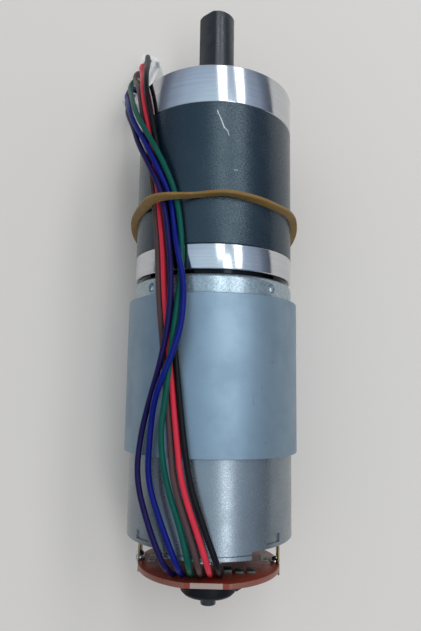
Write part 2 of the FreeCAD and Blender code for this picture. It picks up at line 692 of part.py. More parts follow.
def inner_races(bore, width, places):
    return group([bearing_inner(bore, rear, width) for rear in places])


def output_bearing_outers():
    return outer_races(OUTPUT_BEARING_RADIUS, OUTPUT_BEARING_BORE_RADIUS, OUTPUT_BEARING_WIDTH,
                       output_bearing_places())


def output_bearing_inners():
    return inner_races(OUTPUT_BEARING_BORE_RADIUS, OUTPUT_BEARING_WIDTH, output_bearing_places())


def bearing_spacer():
    rear = -CAP_LENGTH + OUTPUT_BEARING_WIDTH
    bore = OUTPUT_BEARING_RADIUS - BEARING_RACE_WALL
    return tube(OUTPUT_BEARING_RADIUS, bore, rear, rear + BEARING_SPACER_WIDTH)


def motor_bearing_outers():
    return outer_races(MOTOR_BEARING_RADIUS, MOTOR_BEARING_BORE_RADIUS, MOTOR_BEARING_WIDTH,
                       motor_bearing_places())


def motor_bearing_inners():
    return inner_races(MOTOR_BEARING_BORE_RADIUS, MOTOR_BEARING_WIDTH, motor_bearing_places())


# Output shaft


def circlip_rear():
    return output_bearing_places()[1] + OUTPUT_BEARING_WIDTH


def output_shaft():
    """Its round seat ends where the flat begins, and each has a surface of its own."""
    radius = OUTPUT_BEARING_BORE_RADIUS
    groove_bottom = radius - CIRCLIP_GROOVE_DEPTH
    groove_rear = circlip_rear()
    flat_rear = SHAFT_REACH - SHAFT_FLAT_LENGTH
    body = turned_profile([
        (0, OUTPUT_CARRIER_REAR),
        (radius, OUTPUT_CARRIER_REAR),
        (radius, groove_rear),
        (groove_bottom, groove_rear),
        (groove_bottom, groove_rear + CIRCLIP_WIDTH),
        (radius, groove_rear + CIRCLIP_WIDTH),
        (radius, flat_rear),
        (radius, SHAFT_REACH - SHAFT_CHAMFER),
        (radius - SHAFT_CHAMFER, SHAFT_REACH),
        (0, SHAFT_REACH),
    ])
    flat_height = SHAFT_ACROSS_FLAT - radius
    flat = block(-radius, radius, flat_rear, SHAFT_REACH, flat_height, 2 * radius)
    return body.cut(turned(flat, SHAFT_FLAT_TURN))


def shaft_circlip():
    rear = circlip_rear()
    front = rear + CIRCLIP_WIDTH
    ring = tube(CIRCLIP_RADIUS, OUTPUT_BEARING_BORE_RADIUS - CIRCLIP_GROOVE_DEPTH, rear, front)
    half = CIRCLIP_GAP_WIDTH / 2
    return ring.cut(block(-half, half, rear, front, 0, CIRCLIP_RADIUS + OVERCUT))


def output_carrier():
    disc = carrier_disc(OUTPUT_CARRIER_REAR, OUTPUT_CARRIER_THICKNESS)
    hub_radius = OUTPUT_BEARING_BORE_RADIUS + BEARING_INNER_WALL
    hub = cylinder(hub_radius, OUTPUT_CARRIER_REAR + OUTPUT_CARRIER_THICKNESS, -CAP_LENGTH)
    bore = cylinder(OUTPUT_BEARING_BORE_RADIUS, OUTPUT_CARRIER_REAR, -CAP_LENGTH)
    return disc.fuse(hub).cut(bore).removeSplitter()


def thrust_washer():
    front = CASE_REAR + THRUST_WASHER_THICKNESS
    return tube(CARRIER_RADIUS, THRUST_WASHER_BORE_RADIUS, CASE_REAR, front)


# Motor casing


def can_outline():
    """The can's half section: boss, shoulder and long wall, turned round the shaft."""
    boss_front = CAN_FRONT + CAN_BOSS_LENGTH
    lip_bore = MOTOR_BEARING_RADIUS - 2 * CAN_BOSS_LIP
    inside = CAN_FRONT - CAN_FRONT_THICKNESS
    return [
        (CAN_BOSS_RADIUS, CAN_FRONT),
        (CAN_BOSS_RADIUS, boss_front),
        (lip_bore, boss_front),
        (lip_bore, boss_front - CAN_BOSS_LIP),
        (MOTOR_BEARING_RADIUS, boss_front - CAN_BOSS_LIP),
        (MOTOR_BEARING_RADIUS, inside),
        (CAN_BORE_RADIUS, inside),
        (CAN_BORE_RADIUS, CAN_TONGUE_RIM),
        (CAN_RADIUS, CAN_TONGUE_RIM),
        (CAN_RADIUS, CAN_FRONT),
    ]


def motor_can():
    body = turned_profile(can_outline())
    edges = [edge for edge in body.Edges if is_can_shoulder(edge)]
    body = body.makeFillet(CAN_CORNER, edges)
    for side in (90.0, 270.0):
        half = 90.0 - CAN_TONGUE_HALF_ANGLE
        body = body.cut(sector(CAN_RADIUS + OVERCUT, half, CAN_TONGUE_RIM, CAN_RIM, side))
    for side in (0.0, 180.0):
        for turn in (side - CRIMP_WINDOW_ANGLE, side + CRIMP_WINDOW_ANGLE):
            window_rear = CAN_RIM + CRIMP_WINDOW_FROM_RIM
            window_front = window_rear + CRIMP_WINDOW_LENGTH
            window = sector(CAN_RADIUS + OVERCUT, CRIMP_WINDOW_SPAN / 2, window_rear, window_front, turn)
            hollow = cylinder(CAN_BORE_RADIUS - OVERCUT, window_rear, window_front)
            body = body.cut(window.cut(hollow))
        for turn in (side - DIMPLE_ANGLE, side + DIMPLE_ANGLE):
            x, z = ring_of_points(1.0, turn)
            hole = Part.makeCylinder(DIMPLE_RADIUS, CAN_RADIUS + OVERCUT,
                                     Vector(0, CAN_FRONT - DIMPLE_FROM_FRONT, 0), Vector(x, 0, z))
            body = body.cut(hole)
    for x, z in motor_screw_places():
        inside = CAN_FRONT - CAN_FRONT_THICKNESS
        body = body.cut(cylinder(MOTOR_SCREW_RADIUS, inside, CAN_FRONT, x, z))
    return body


def is_can_shoulder(edge):
    is_round = isinstance(edge.Curve, Part.Circle)
    is_outside = is_round and abs(edge.Curve.Radius - CAN_RADIUS) < SAME_LENGTH
    return is_outside and abs(edge.CenterOfMass.y - CAN_FRONT) < SAME_LENGTH


def flux_ring():
    front = CAN_FRONT - FLUX_RING_FROM_FRONT
    rear = front - FLUX_RING_LENGTH
    outer = CAN_RADIUS + FLUX_RING_THICKNESS
    half = FLUX_RING_SEAM_WIDTH / 2
    seam = block(-half, half, rear, front, 0, outer + OVERCUT)
    return tube(outer, CAN_RADIUS, rear, front).cut(turned(seam, FLUX_RING_SEAM_ANGLE))


def end_bell():
    hub_rear = BELL_REAR - END_BELL_HUB_LENGTH
    body = cylinder(CAN_BORE_RADIUS - END_BELL_CLEARANCE, BELL_REAR, BELL_FRONT)
    body = body.fuse(cylinder(END_BELL_HUB_RADIUS, hub_rear, BELL_REAR))
    body = body.cut(cylinder(MOTOR_BEARING_RADIUS, hub_rear + CAN_BOSS_LIP, BELL_FRONT))
    body = body.cut(cylinder(MOTOR_BEARING_RADIUS - 2 * CAN_BOSS_LIP, hub_rear, BELL_FRONT))
    half_width = TERMINAL_WIDTH / 2 + BRUSH_CLEARANCE
    for side in (-1, 1):
        low = TERMINAL_PLACE - TERMINAL_THICKNESS / 2 - BRUSH_CLEARANCE
        high = TERMINAL_PLACE + TERMINAL_THICKNESS / 2 + BRUSH_CLEARANCE
        slot = block(low, high, BELL_REAR, BELL_FRONT, -half_width, half_width)
        body = body.cut(mirrored(slot, side))
    return body.removeSplitter()


def both_sides(shape):
    return group([mirrored(shape, side) for side in (1, -1)])


def mirrored(shape, side):
    """The shape on the +X side as it is, or its mirror image on the other side."""
    if side > 0:
        return shape
    return shape.mirror(CENTRE, Vector(1, 0, 0))


# Magnets, armature and brushes


def field_magnets():
    rear = MAGNET_FRONT - MAGNET_LENGTH
    shell = tube(CAN_BORE_RADIUS, CAN_BORE_RADIUS - MAGNET_THICKNESS, rear, MAGNET_FRONT)
    arcs = []
    for turn in (0.0, 180.0):
        span = sector(CAN_RADIUS + OVERCUT, MAGNET_SPAN / 2, rear, MAGNET_FRONT, turn)
        arcs.append(shell.common(span))
    return group(arcs)


def magnet_clips():
    """Two bent springs that press the magnets apart against the can."""
    rear = MAGNET_FRONT - MAGNET_LENGTH + MAGNET_CLIP_SETBACK
    front = MAGNET_FRONT - MAGNET_CLIP_SETBACK
    back_bore = CAN_BORE_RADIUS - MAGNET_CLIP_THICKNESS
    half_gap = 90.0 - MAGNET_SPAN / 2
    back = tube(CAN_BORE_RADIUS, back_bore, rear, front)
    legs = tube(back_bore, CAN_BORE_RADIUS - MAGNET_THICKNESS, rear, front)
    leg_angle = math.degrees(MAGNET_CLIP_THICKNESS / CAN_BORE_RADIUS)
    clips = []
    for turn in (90.0, 270.0):
        clip = back.common(sector(CAN_RADIUS + OVERCUT, half_gap, rear, front, turn))
        for side in (-1, 1):
            leg_turn = turn + side * (half_gap - leg_angle / 2)
            leg = legs.common(sector(CAN_RADIUS + OVERCUT, leg_angle / 2, rear, front, leg_turn))
            clip = clip.fuse(leg)
        clips.append(clip.removeSplitter())
    return group(clips)


def motor_shaft():
    front = pinion_front() - PINION_PAST_SHAFT
    step = BELL_REAR - END_BELL_HUB_LENGTH
    journal = cylinder(ENCODER_JOURNAL_RADIUS, wheel_rear() - WHEEL_STUB_LENGTH / 2, step)
    return cylinder(ROTOR_SHAFT_RADIUS, step, front).fuse(journal).removeSplitter()


def pinion_front():
    return FIRST_CARRIER_REAR - 2 * STAGE_GAP


def motor_pinion():
    rear = CASE_REAR - PINION_REAR_OVERLAP
    bore = cylinder(ROTOR_SHAFT_RADIUS, rear, pinion_front())
    return sun_gear(rear, pinion_front()).cut(bore)


def star(radius, tooth_width, rear, front, bore_radius):
    """A hub with one straight arm for each of the armature's teeth."""
    arm = block(-tooth_width / 2, tooth_width / 2, rear, front, 0, radius)
    body = cylinder(ARMATURE_HUB_RADIUS, rear, front).fuse(pattern(arm, ARMATURE_SLOTS))
    return body.cut(cylinder(bore_radius, rear, front)).removeSplitter()


def armature_core():
    tip_bore = CORE_RADIUS - TOOTH_TIP_THICKNESS
    reach = CORE_RADIUS - TOOTH_TIP_THICKNESS / 2
    body = star(reach, TOOTH_WIDTH, CORE_REAR, CORE_FRONT, ROTOR_SHAFT_RADIUS)
    body = body.fuse(tube(CORE_RADIUS, tip_bore, CORE_REAR, CORE_FRONT))
    half = SLOT_OPENING / 2
    opening = block(-half, half, CORE_REAR, CORE_FRONT, ARMATURE_HUB_RADIUS + OVERCUT,
                    CORE_RADIUS + OVERCUT)
    for slot in pattern(opening, ARMATURE_SLOTS, 180.0 / ARMATURE_SLOTS):
        body = body.cut(slot)
    return body.removeSplitter()


def armature_insulators():
    radius = CORE_RADIUS - TOOTH_TIP_THICKNESS - WINDING_CLEARANCE
    ends = []
    for rear in (CORE_FRONT, CORE_REAR - INSULATOR_THICKNESS):
        ends.append(star(radius, TOOTH_WIDTH, rear, rear + INSULATOR_THICKNESS, ROTOR_SHAFT_RADIUS))
    return group(ends)


def armature_windings():
    """Five coils, one round each arm, trimmed where two of them share a slot."""
    outer = CORE_RADIUS - TOOTH_TIP_THICKNESS - WINDING_CLEARANCE
    inner = ARMATURE_HUB_RADIUS + WINDING_CLEARANCE
    half = TOOTH_WIDTH / 2 + WINDING_THICKNESS
    hole_half = TOOTH_WIDTH / 2 + WINDING_CLEARANCE / 2
    rear = CORE_REAR - WINDING_OVERHANG
    front = CORE_FRONT + WINDING_OVERHANG
    coil = block(-half, half, rear, front, inner, outer)
    corner_edges = [edge for edge in coil.Edges if abs(edge.Length - (outer - inner)) < SAME_LENGTH]
    coil = coil.makeFillet(WINDING_CORNER, corner_edges)
    hole = block(-hole_half, hole_half, CORE_REAR - INSULATOR_THICKNESS,
                 CORE_FRONT + INSULATOR_THICKNESS, 0, CORE_RADIUS)
    share_angle = 180.0 / ARMATURE_SLOTS - COIL_GAP_ANGLE / 2
    share = sector(CORE_RADIUS, share_angle, rear, front, 0.0)
    coil = coil.common(share).common(cylinder(outer, rear, front)).cut(hole)
    return group(pattern(coil, ARMATURE_SLOTS))


def commutator():
    """Five copper segments with their risers, on a moulded sleeve."""
    rear = COMMUTATOR_FRONT - COMMUTATOR_LENGTH
    shell = tube(COMMUTATOR_RADIUS, COMMUTATOR_HUB_RADIUS, rear, COMMUTATOR_FRONT)
    riser_rear = COMMUTATOR_FRONT - RISER_LENGTH
    riser = tube(RISER_RADIUS, COMMUTATOR_HUB_RADIUS, riser_rear, COMMUTATOR_FRONT)
    copper = shell.fuse(riser).removeSplitter()
    half = COMMUTATOR_GAP / 2
    gap = block(-half, half, rear, COMMUTATOR_FRONT, 0, RISER_RADIUS + OVERCUT)
    for cut in pattern(gap, ARMATURE_SLOTS):
        copper = copper.cut(cut)
    sleeve_rear = rear - COMMUTATOR_SLEEVE_REAR
    sleeve_front = COMMUTATOR_FRONT + COMMUTATOR_SLEEVE_FRONT
    sleeve = tube(COMMUTATOR_HUB_RADIUS, ROTOR_SHAFT_RADIUS, sleeve_rear, sleeve_front)
    return group(copper.Solids + [sleeve])


def brush_rear():
    return BELL_FRONT + BRUSH_FROM_BELL


def brushes():
    rear = brush_rear()
    half = BRUSH_WIDTH / 2
    outer = COMMUTATOR_RADIUS + BRUSH_LENGTH
    brush = block(0, outer, rear, rear + BRUSH_AXIAL, -half, half)
    brush = brush.cut(cylinder(COMMUTATOR_RADIUS + BRUSH_CLEARANCE, rear, rear + BRUSH_AXIAL))
    brush = [solid for solid in brush.Solids if solid.CenterOfMass.x > 0][0]
    return both_sides(brush)


def holder_inner_end():
    return RISER_RADIUS + HOLDER_FROM_RISER


def brush_holders():
    """Open brass boxes that guide the brushes, on a foot against the end bell."""
    inner = holder_inner_end()
    outer = inner + HOLDER_LENGTH
    half = BRUSH_WIDTH / 2 + BRUSH_CLEARANCE
    rear = brush_rear() - BRUSH_CLEARANCE
    front = brush_rear() + BRUSH_AXIAL + BRUSH_CLEARANCE
    side = half + HOLDER_WALL
    shell = block(inner, outer, BELL_FRONT, front + HOLDER_WALL, -side, side)
    way = block(inner, outer - HOLDER_WALL, rear, front, -half, half)
    under = block(inner, outer, BELL_FRONT, rear - HOLDER_WALL, -half, half)
    holder = shell.cut(way).cut(under)
    return both_sides(holder)


def brush_springs():
    """A bowed leaf between each brush's back and the closed end of its holder."""
    start = COMMUTATOR_RADIUS + BRUSH_LENGTH
    end = holder_inner_end() + HOLDER_LENGTH - HOLDER_WALL
    half = BRUSH_WIDTH / 2 - BRUSH_SPRING_SIDE_GAP
    middle = brush_rear() + BRUSH_AXIAL / 2
    leaf_half = BRUSH_AXIAL / 2 - BRUSH_SPRING_END_GAP
    inner_half = half - 2 * BRUSH_SPRING_THICKNESS
    inner_start = start + BRUSH_SPRING_THICKNESS
    bow = Part.Arc(Vector(end, 0, -half), Vector(start, 0, 0), Vector(end, 0, half))
    back = Part.Arc(Vector(end, 0, inner_half), Vector(inner_start, 0, 0), Vector(end, 0, -inner_half))
    upper_foot = Part.LineSegment(Vector(end, 0, half), Vector(end, 0, inner_half))
    lower_foot = Part.LineSegment(Vector(end, 0, -inner_half), Vector(end, 0, -half))
    edges = [curve.toShape() for curve in (bow, upper_foot, back, lower_foot)]
    face = Part.Face(Part.Wire(edges))
    face.translate(Vector(0, middle - leaf_half, 0))
    spring = face.extrude(Vector(0, 2 * leaf_half, 0))
    return both_sides(spring)


def motor_terminals():
    """Flat tabs from the brush holders out through the end bell and the board."""
    half = TERMINAL_WIDTH / 2
    low = TERMINAL_PLACE - TERMINAL_THICKNESS / 2
    high = TERMINAL_PLACE + TERMINAL_THICKNESS / 2
    rear = BOARD_REAR - TERMINAL_PAST_BOARD
    tab = block(low, high, rear, BELL_FRONT + TERMINAL_FOOT_THICKNESS, -half, half)
    foot = block(holder_inner_end() + HOLDER_LENGTH, high, BELL_FRONT,
                 BELL_FRONT + TERMINAL_FOOT_THICKNESS, -half, half)
    hole_centre = Vector(low, rear + TERMINAL_HOLE_FROM_END, 0)
    hole = Part.makeCylinder(TERMINAL_HOLE_RADIUS, TERMINAL_THICKNESS, hole_centre, Vector(1, 0, 0))
    terminal = tab.fuse(foot).removeSplitter().cut(hole)
    return both_sides(terminal)


# Encoder


def wire_hole_places():
    across = [WIRE_ROW_START + k * WIRE_ROW_PITCH for k in range(len(WIRE_NAMES))]
    return [(x, WIRE_ROW_HEIGHT) for x in across]


def encoder_board():
    body = cylinder(BOARD_RADIUS, BOARD_REAR, BOARD_FRONT)
    body = body.cut(cylinder(BOARD_BORE_RADIUS, BOARD_REAR, BOARD_FRONT))
    reach = BOARD_RADIUS
    body = body.cut(block(-reach, reach, BOARD_REAR, BOARD_FRONT, BOARD_FLAT_HEIGHT, reach))
    half_width = TERMINAL_WIDTH / 2 + BRUSH_CLEARANCE
    for side in (-1, 1):
        low = TERMINAL_PLACE - TERMINAL_THICKNESS / 2 - BRUSH_CLEARANCE
        notch = block(low, BOARD_RADIUS + OVERCUT, BOARD_REAR, BOARD_FRONT, -half_width, half_width)
        body = body.cut(mirrored(notch, side))
    for x, z in wire_hole_places():
        body = body.cut(cylinder(WIRE_HOLE_RADIUS, BOARD_REAR, BOARD_FRONT, x, z))
    return body


def solder_joints():
    """Blobs on the terminals in front of the board, and the wires' joints behind it."""
    tab = TERMINAL_PLACE - TERMINAL_THICKNESS / 2
    top = BOARD_FRONT + TERMINAL_BLOB_HEIGHT
    blob = cone(TERMINAL_BLOB_RADIUS, TERMINAL_BLOB_TOP_RADIUS, BOARD_FRONT, top, tab, 0)
    inside = block(0, tab, BOARD_FRONT, top, -TERMINAL_BLOB_RADIUS, TERMINAL_BLOB_RADIUS)
    blob = blob.common(inside)
    joints = []
    for x, z in wire_hole_places():
        tip = BOARD_REAR - WIRE_JOINT_HEIGHT
        joint = cone(WIRE_JOINT_TOP_RADIUS, WIRE_JOINT_RADIUS, tip, BOARD_REAR, x, z)
        core = cylinder(WIRE_HOLE_RADIUS, BOARD_REAR, BOARD_FRONT, x, z)
        joints.append(joint.fuse(core).removeSplitter())
    return group([mirrored(blob, -1), blob] + joints)


def hall_sensors():
    """Two three-legged sensors that stand behind the board, beside the magnet wheel."""
    width, height, depth = HALL_SENSOR_SIZE
    near = MAGNET_WHEEL_RADIUS + HALL_SENSOR_GAP
    front = BOARD_REAR - HALL_SENSOR_STANDOFF
    sensors = []
    for turn in HALL_SENSOR_ANGLES:
        body = block(-width / 2, width / 2, front - height, front, near, near + depth)
        legs = []
        for k in (-1, 0, 1):
            aside = k * HALL_LEAD_PITCH
            legs.append(cylinder(HALL_LEAD_RADIUS, front, BOARD_REAR, aside, near + depth / 2))
        sensors.append(turned(body.fuse(legs).removeSplitter(), turn))
    return group(sensors)


def board_parts():
    """A capacitor, two resistors and the pale pads, on the front of the board."""
    pieces = [on_board(place, PAD_SIZE) for place in PAD_PLACES]
    pieces += [on_board(place, CAPACITOR_SIZE) for place in CAPACITOR_PLACES]
    pieces += [on_board(place, RESISTOR_SIZE) for place in RESISTOR_PLACES]
    return group(pieces)


def on_board(place, size):
    x, z = (steps * STEP for steps in place)
    width, height, thickness = size
    front = BOARD_FRONT + thickness
    return block(x - width / 2, x + width / 2, BOARD_FRONT, front, z - height / 2, z + height / 2)


def wheel_front():
    return BOARD_REAR - MAGNET_WHEEL_FROM_BOARD


def wheel_rear():
    return wheel_front() - MAGNET_WHEEL_LENGTH


def encoder_magnet():
    front = wheel_front()
    rear = wheel_rear()
    edge = MAGNET_WHEEL_CHAMFER
    radius = MAGNET_WHEEL_RADIUS
    return turned_profile([
        (WHEEL_HUB_RADIUS, rear), (radius - edge, rear), (radius, rear + edge),
        (radius, front - edge), (radius - edge, front), (WHEEL_HUB_RADIUS, front),
    ])


def magnet_hub():
    """The sleeve that carries the magnet wheel, with the stub that shows behind it."""
    rear = wheel_rear()
    body = cylinder(WHEEL_HUB_RADIUS, rear, wheel_front() + WHEEL_HUB_FRONT)
    body = body.fuse(cylinder(WHEEL_STUB_RADIUS, rear - WHEEL_STUB_LENGTH, rear))
    bore_rear = rear - WHEEL_STUB_LENGTH / 2
    bore = cylinder(ENCODER_JOURNAL_RADIUS, bore_rear, wheel_front() + WHEEL_HUB_FRONT)
    return body.cut(bore).removeSplitter()


# Lead, plug and rubber band


def plug_placement():
    place = Vector(PLUG_CORNER[0], PLUG_CORNER[1], TABLE_HEIGHT)
    return Placement(place, Rotation(Vector(0, 0, 1), PLUG_TURN))


def plug_length():
    return 2 * PLUG_END + (PLUG_WAYS - 1) * PLUG_PITCH


def cavity_place(way):
    return PLUG_END + way * PLUG_PITCH


def plug_housing():
    """Six cavities in a row, open at the top, with a window for each contact's latch."""
    half = PLUG_THICKNESS / 2
    body = block(0, plug_length(), -half, half, 0, PLUG_HEIGHT)
    waist = half - PLUG_WAIST_DEPTH
    shelf = PLUG_HEIGHT - PLUG_WAIST_HEIGHT
    body = body.cut(block(0, plug_length(), waist, half, shelf, PLUG_HEIGHT))
    for end in (PLUG_RIB, plug_length() - 2 * PLUG_RIB):
        body = body.fuse(block(end, end + PLUG_RIB, waist, half, shelf, PLUG_HEIGHT))
    cavity_floor = PLUG_HEIGHT - PLUG_CAVITY_DEPTH
    window = PLUG_WINDOW_WIDTH / 2
    window_top = PLUG_WINDOW_FROM_TABLE + PLUG_WINDOW_HEIGHT
    for way in range(PLUG_WAYS):
        x = cavity_place(way)
        body = body.cut(square_post(x, PLUG_CAVITY_WIDTH, cavity_floor, PLUG_HEIGHT))
        body = body.cut(square_post(x, PLUG_POST_HOLE, 0, PLUG_HEIGHT))
        body = body.cut(block(x - window, x + window, -half, PLUG_CAVITY_SHIFT,
                              PLUG_WINDOW_FROM_TABLE, window_top))
    body.Placement = plug_placement()
    return body


def square_post(x, side, low, high):
    """A square column in the plug's own frame, on the line of its cavities."""
    half = side / 2
    middle = PLUG_CAVITY_SHIFT
    return block(x - half, x + half, middle - half, middle + half, low, high)


def plug_contacts():
    """Socket contacts: a square box for the post below, and a solid barrel for the wire."""
    top = PLUG_HEIGHT - WIRE_DEPTH_IN_PLUG
    low = top - CONTACT_LENGTH
    hollow = CONTACT_SIZE - 2 * CONTACT_WALL
    contacts = []
    for way in range(PLUG_WAYS):
        x = cavity_place(way)
        box = square_post(x, CONTACT_SIZE, low, top)
        contacts.append(box.cut(square_post(x, hollow, low, top - CONTACT_BARREL_LENGTH)))
    shape = group(contacts)
    shape.Placement = plug_placement()
    return shape


def wire_end_in_plug(name):
    """From the plug's far end the wires sit in the reverse of their order on the board."""
    way = list(reversed(WIRE_NAMES)).index(name)
    place = Vector(cavity_place(way), PLUG_CAVITY_SHIFT, PLUG_HEIGHT - WIRE_DEPTH_IN_PLUG)
    return plug_placement().multVec(place)


def wire_route(name):
    column = WIRE_NAMES.index(name)
    x, z = wire_hole_places()[column]
    places = list(OUT_OF_THE_BOARD[name])
    for along, turn, height in OVER_THE_BODY[name]:
        across, up = ring_of_points(height, turn)
        places.append((across, along, up))
    places += DOWN_TO_THE_PLUG[name]
    spread = CASING_RADIUS / ROUTE_CASING_RADIUS
    points = [Vector(x, BOARD_FRONT, z)]
    points += [Vector(across * spread, along, up * spread) for across, along, up in places]
    end = wire_end_in_plug(name)
    points.append(Vector(end.x, end.y, TABLE_HEIGHT + PLUG_HEIGHT + WIRE_ABOVE_PLUG))
    points.append(end)
    return points


def cord_path(points):
    """Straight runs joined by tangent arcs, and the smallest arc's radius."""
    edges = []
    radii = []
    start = points[0]
    for before, corner, after in zip(points, points[1:], points[2:]):
        inward = corner - before
        outward = after - corner
        turn = inward.getAngle(outward)
        reach = CORNER_SHARE * min(inward.Length, outward.Length)
        radius = reach / math.tan(turn / 2)
        inward.normalize()
        outward.normalize()
        arc_start = corner - inward * reach
        arc_end = corner + outward * reach
        bisector = outward - inward
        bisector.normalize()
        depth = radius / math.cos(turn / 2) - radius
        arc_middle = corner + bisector * depth
        edges.append(Part.LineSegment(start, arc_start).toShape())
        edges.append(Part.Arc(arc_start, arc_middle, arc_end).toShape())
        radii.append(radius)
        start = arc_end
    edges.append(Part.LineSegment(start, points[-1]).toShape())
    return Part.Wire(edges), radii


def wire_tube(name):
    points = wire_route(name)
    path, radii = cord_path(points)
    direction = points[1] - points[0]
    section = Part.Wire([Part.makeCircle(WIRE_DIAMETER / 2, points[0], direction)])
    body = path.makePipeShell([section], True, False)
    expected = path.Length * math.pi * (WIRE_DIAMETER / 2) ** 2
    ratio = body.Volume / expected
    print("wire", name, "length", round(path.Length, 1), "volume ratio", round(ratio, 4))
    print("  bend radii", [round(radius, 1) for radius in radii])
    return body


def band_outline(gap):
    """A belt round the gear case that rises over the lead, gap away from both."""
    case = GEARBOX_RADIUS + BAND_CLEARANCE + gap
    bulge = BAND_BULGE_RADIUS + gap
    offset = GEARBOX_RADIUS + BAND_BULGE_RISE - BAND_BULGE_RADIUS
    lean = math.acos((case - bulge) / offset)

    def on_case(turn):
        return Vector(case * math.sin(turn), 0, case * math.cos(turn))

    def on_bulge(turn):
        return Vector(bulge * math.sin(turn), 0, offset + bulge * math.cos(turn))

    edges = [
        Part.Arc(on_case(lean), on_case(math.pi), on_case(-lean)).toShape(),
        Part.LineSegment(on_case(-lean), on_bulge(-lean)).toShape(),
        Part.Arc(on_bulge(-lean), on_bulge(0), on_bulge(lean)).toShape(),
        Part.LineSegment(on_bulge(lean), on_case(lean)).toShape(),
    ]
    return Part.Wire(edges)


def rubber_band():
    """A long sleeve of the belt's outline is made, and a tilted slice of it is kept."""
    length = 2 * GEARBOX_RADIUS
    sleeves = []
    for gap in (BAND_THICKNESS, 0.0):
        face = Part.Face(band_outline(gap))
        face.translate(Vector(0, BAND_CENTRE - length / 2, 0))
        sleeves.append(face.extrude(Vector(0, length, 0)))
    sleeve = turned(sleeves[0].cut(sleeves[1]), BAND_OVER_WIRES_ANGLE)
    reach = 2 * GEARBOX_RADIUS
    slice_block = block(-reach, reach, -BAND_WIDTH / 2, BAND_WIDTH / 2, -reach, reach)
    slice_block.rotate(CENTRE, Vector(1, 0, 0), -BAND_TILT)
    slice_block.translate(Vector(0, BAND_CENTRE, 0))
    return sleeve.common(slice_block)


def planets(stage, rear, width):
    for number in range(PLANET_COUNT):
        save(planet_gear(number, rear, width), stage + "_planet_" + str(number + 1))


os.makedirs("parts", exist_ok=True)

save(front_cap(), "front_cap")
save(cap_screws(), "cap_screws")
save(gear_case(), "gear_case")
save(adapter_plate(), "adapter_plate")
save(adapter_screws(), "adapter_screws")
save(motor_screws(), "motor_screws")
save(output_bearing_outers(), "output_bearing_outers")
save(output_bearing_inners(), "output_bearing_inners")
save(bearing_spacer(), "bearing_spacer")
save(output_shaft(), "output_shaft")
save(shaft_circlip(), "shaft_circlip")
save(output_carrier(), "output_carrier")
save(output_carrier_pins(), "output_carrier_pins")
save(thrust_washer(), "thrust_washer")
save(first_carrier(), "first_carrier")
save(first_carrier_pins(), "first_carrier_pins")
save(second_carrier(), "second_carrier")
save(second_carrier_pins(), "second_carrier_pins")
planets("first", FIRST_PLANET_REAR, FIRST_GEAR_WIDTH)
planets("second", SECOND_PLANET_REAR, SECOND_GEAR_WIDTH)
planets("third", THIRD_PLANET_REAR, THIRD_GEAR_WIDTH)

save(motor_can(), "motor_can")
save(flux_ring(), "flux_ring")
save(end_bell(), "end_bell")
save(field_magnets(), "field_magnets")
save(magnet_clips(), "magnet_clips")
save(motor_bearing_outers(), "motor_bearing_outers")
save(motor_bearing_inners(), "motor_bearing_inners")
save(motor_shaft(), "motor_shaft")
save(motor_pinion(), "motor_pinion")
save(armature_core(), "armature_core")
save(armature_insulators(), "armature_insulators")
save(armature_windings(), "armature_windings")
save(commutator(), "commutator")
save(brushes(), "brushes")
save(brush_holders(), "brush_holders")
save(brush_springs(), "brush_springs")
save(motor_terminals(), "motor_terminals")

save(encoder_board(), "encoder_board")
save(solder_joints(), "solder_joints")
save(hall_sensors(), "hall_sensors")
save(board_parts(), "board_parts")
save(encoder_magnet(), "encoder_magnet")
save(magnet_hub(), "magnet_hub")

for wire_name in WIRE_NAMES:
    save(wire_tube(wire_name), "wire_" + wire_name)
save(plug_housing(), "connector_housing")
save(plug_contacts(), "connector_contacts")
save(rubber_band(), "rubber_band")
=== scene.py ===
# %% [markdown]
# # A geared motor with its wire lead, dressed for a photograph
#
# The CAD model is the fixed frame: every body keeps its place, and what is made here
# sits on it. The motor lies on its side. The output shaft points along +Y, +Z is up
# towards the camera, and the origin is on the shaft's axis at the gearbox's front face.
# Sizes below are in millimetres, and MM turns them into the metres that Blender works in.

# %% Load the frame
import json
import math

import bpy
from mathutils import Matrix, Vector


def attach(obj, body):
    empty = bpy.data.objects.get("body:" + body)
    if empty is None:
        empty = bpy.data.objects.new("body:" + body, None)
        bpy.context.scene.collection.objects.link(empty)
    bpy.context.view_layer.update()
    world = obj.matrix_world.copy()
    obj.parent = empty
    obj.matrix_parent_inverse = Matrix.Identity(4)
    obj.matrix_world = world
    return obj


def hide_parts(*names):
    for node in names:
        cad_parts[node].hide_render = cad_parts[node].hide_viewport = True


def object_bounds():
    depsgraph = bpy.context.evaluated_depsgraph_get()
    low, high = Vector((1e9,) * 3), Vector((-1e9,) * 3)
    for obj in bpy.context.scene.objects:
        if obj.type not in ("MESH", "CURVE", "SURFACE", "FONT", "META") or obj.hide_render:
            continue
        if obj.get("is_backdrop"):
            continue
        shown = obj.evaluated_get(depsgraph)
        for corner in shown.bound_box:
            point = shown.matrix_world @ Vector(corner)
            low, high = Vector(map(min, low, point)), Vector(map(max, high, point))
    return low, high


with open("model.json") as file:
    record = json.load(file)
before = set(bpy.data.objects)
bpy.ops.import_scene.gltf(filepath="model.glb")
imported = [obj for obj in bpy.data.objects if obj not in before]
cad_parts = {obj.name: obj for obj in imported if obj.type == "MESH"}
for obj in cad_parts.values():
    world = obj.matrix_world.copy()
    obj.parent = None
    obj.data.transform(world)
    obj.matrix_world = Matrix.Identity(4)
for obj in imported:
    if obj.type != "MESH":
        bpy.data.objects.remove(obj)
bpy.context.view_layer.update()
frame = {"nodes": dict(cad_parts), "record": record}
MM = 0.001

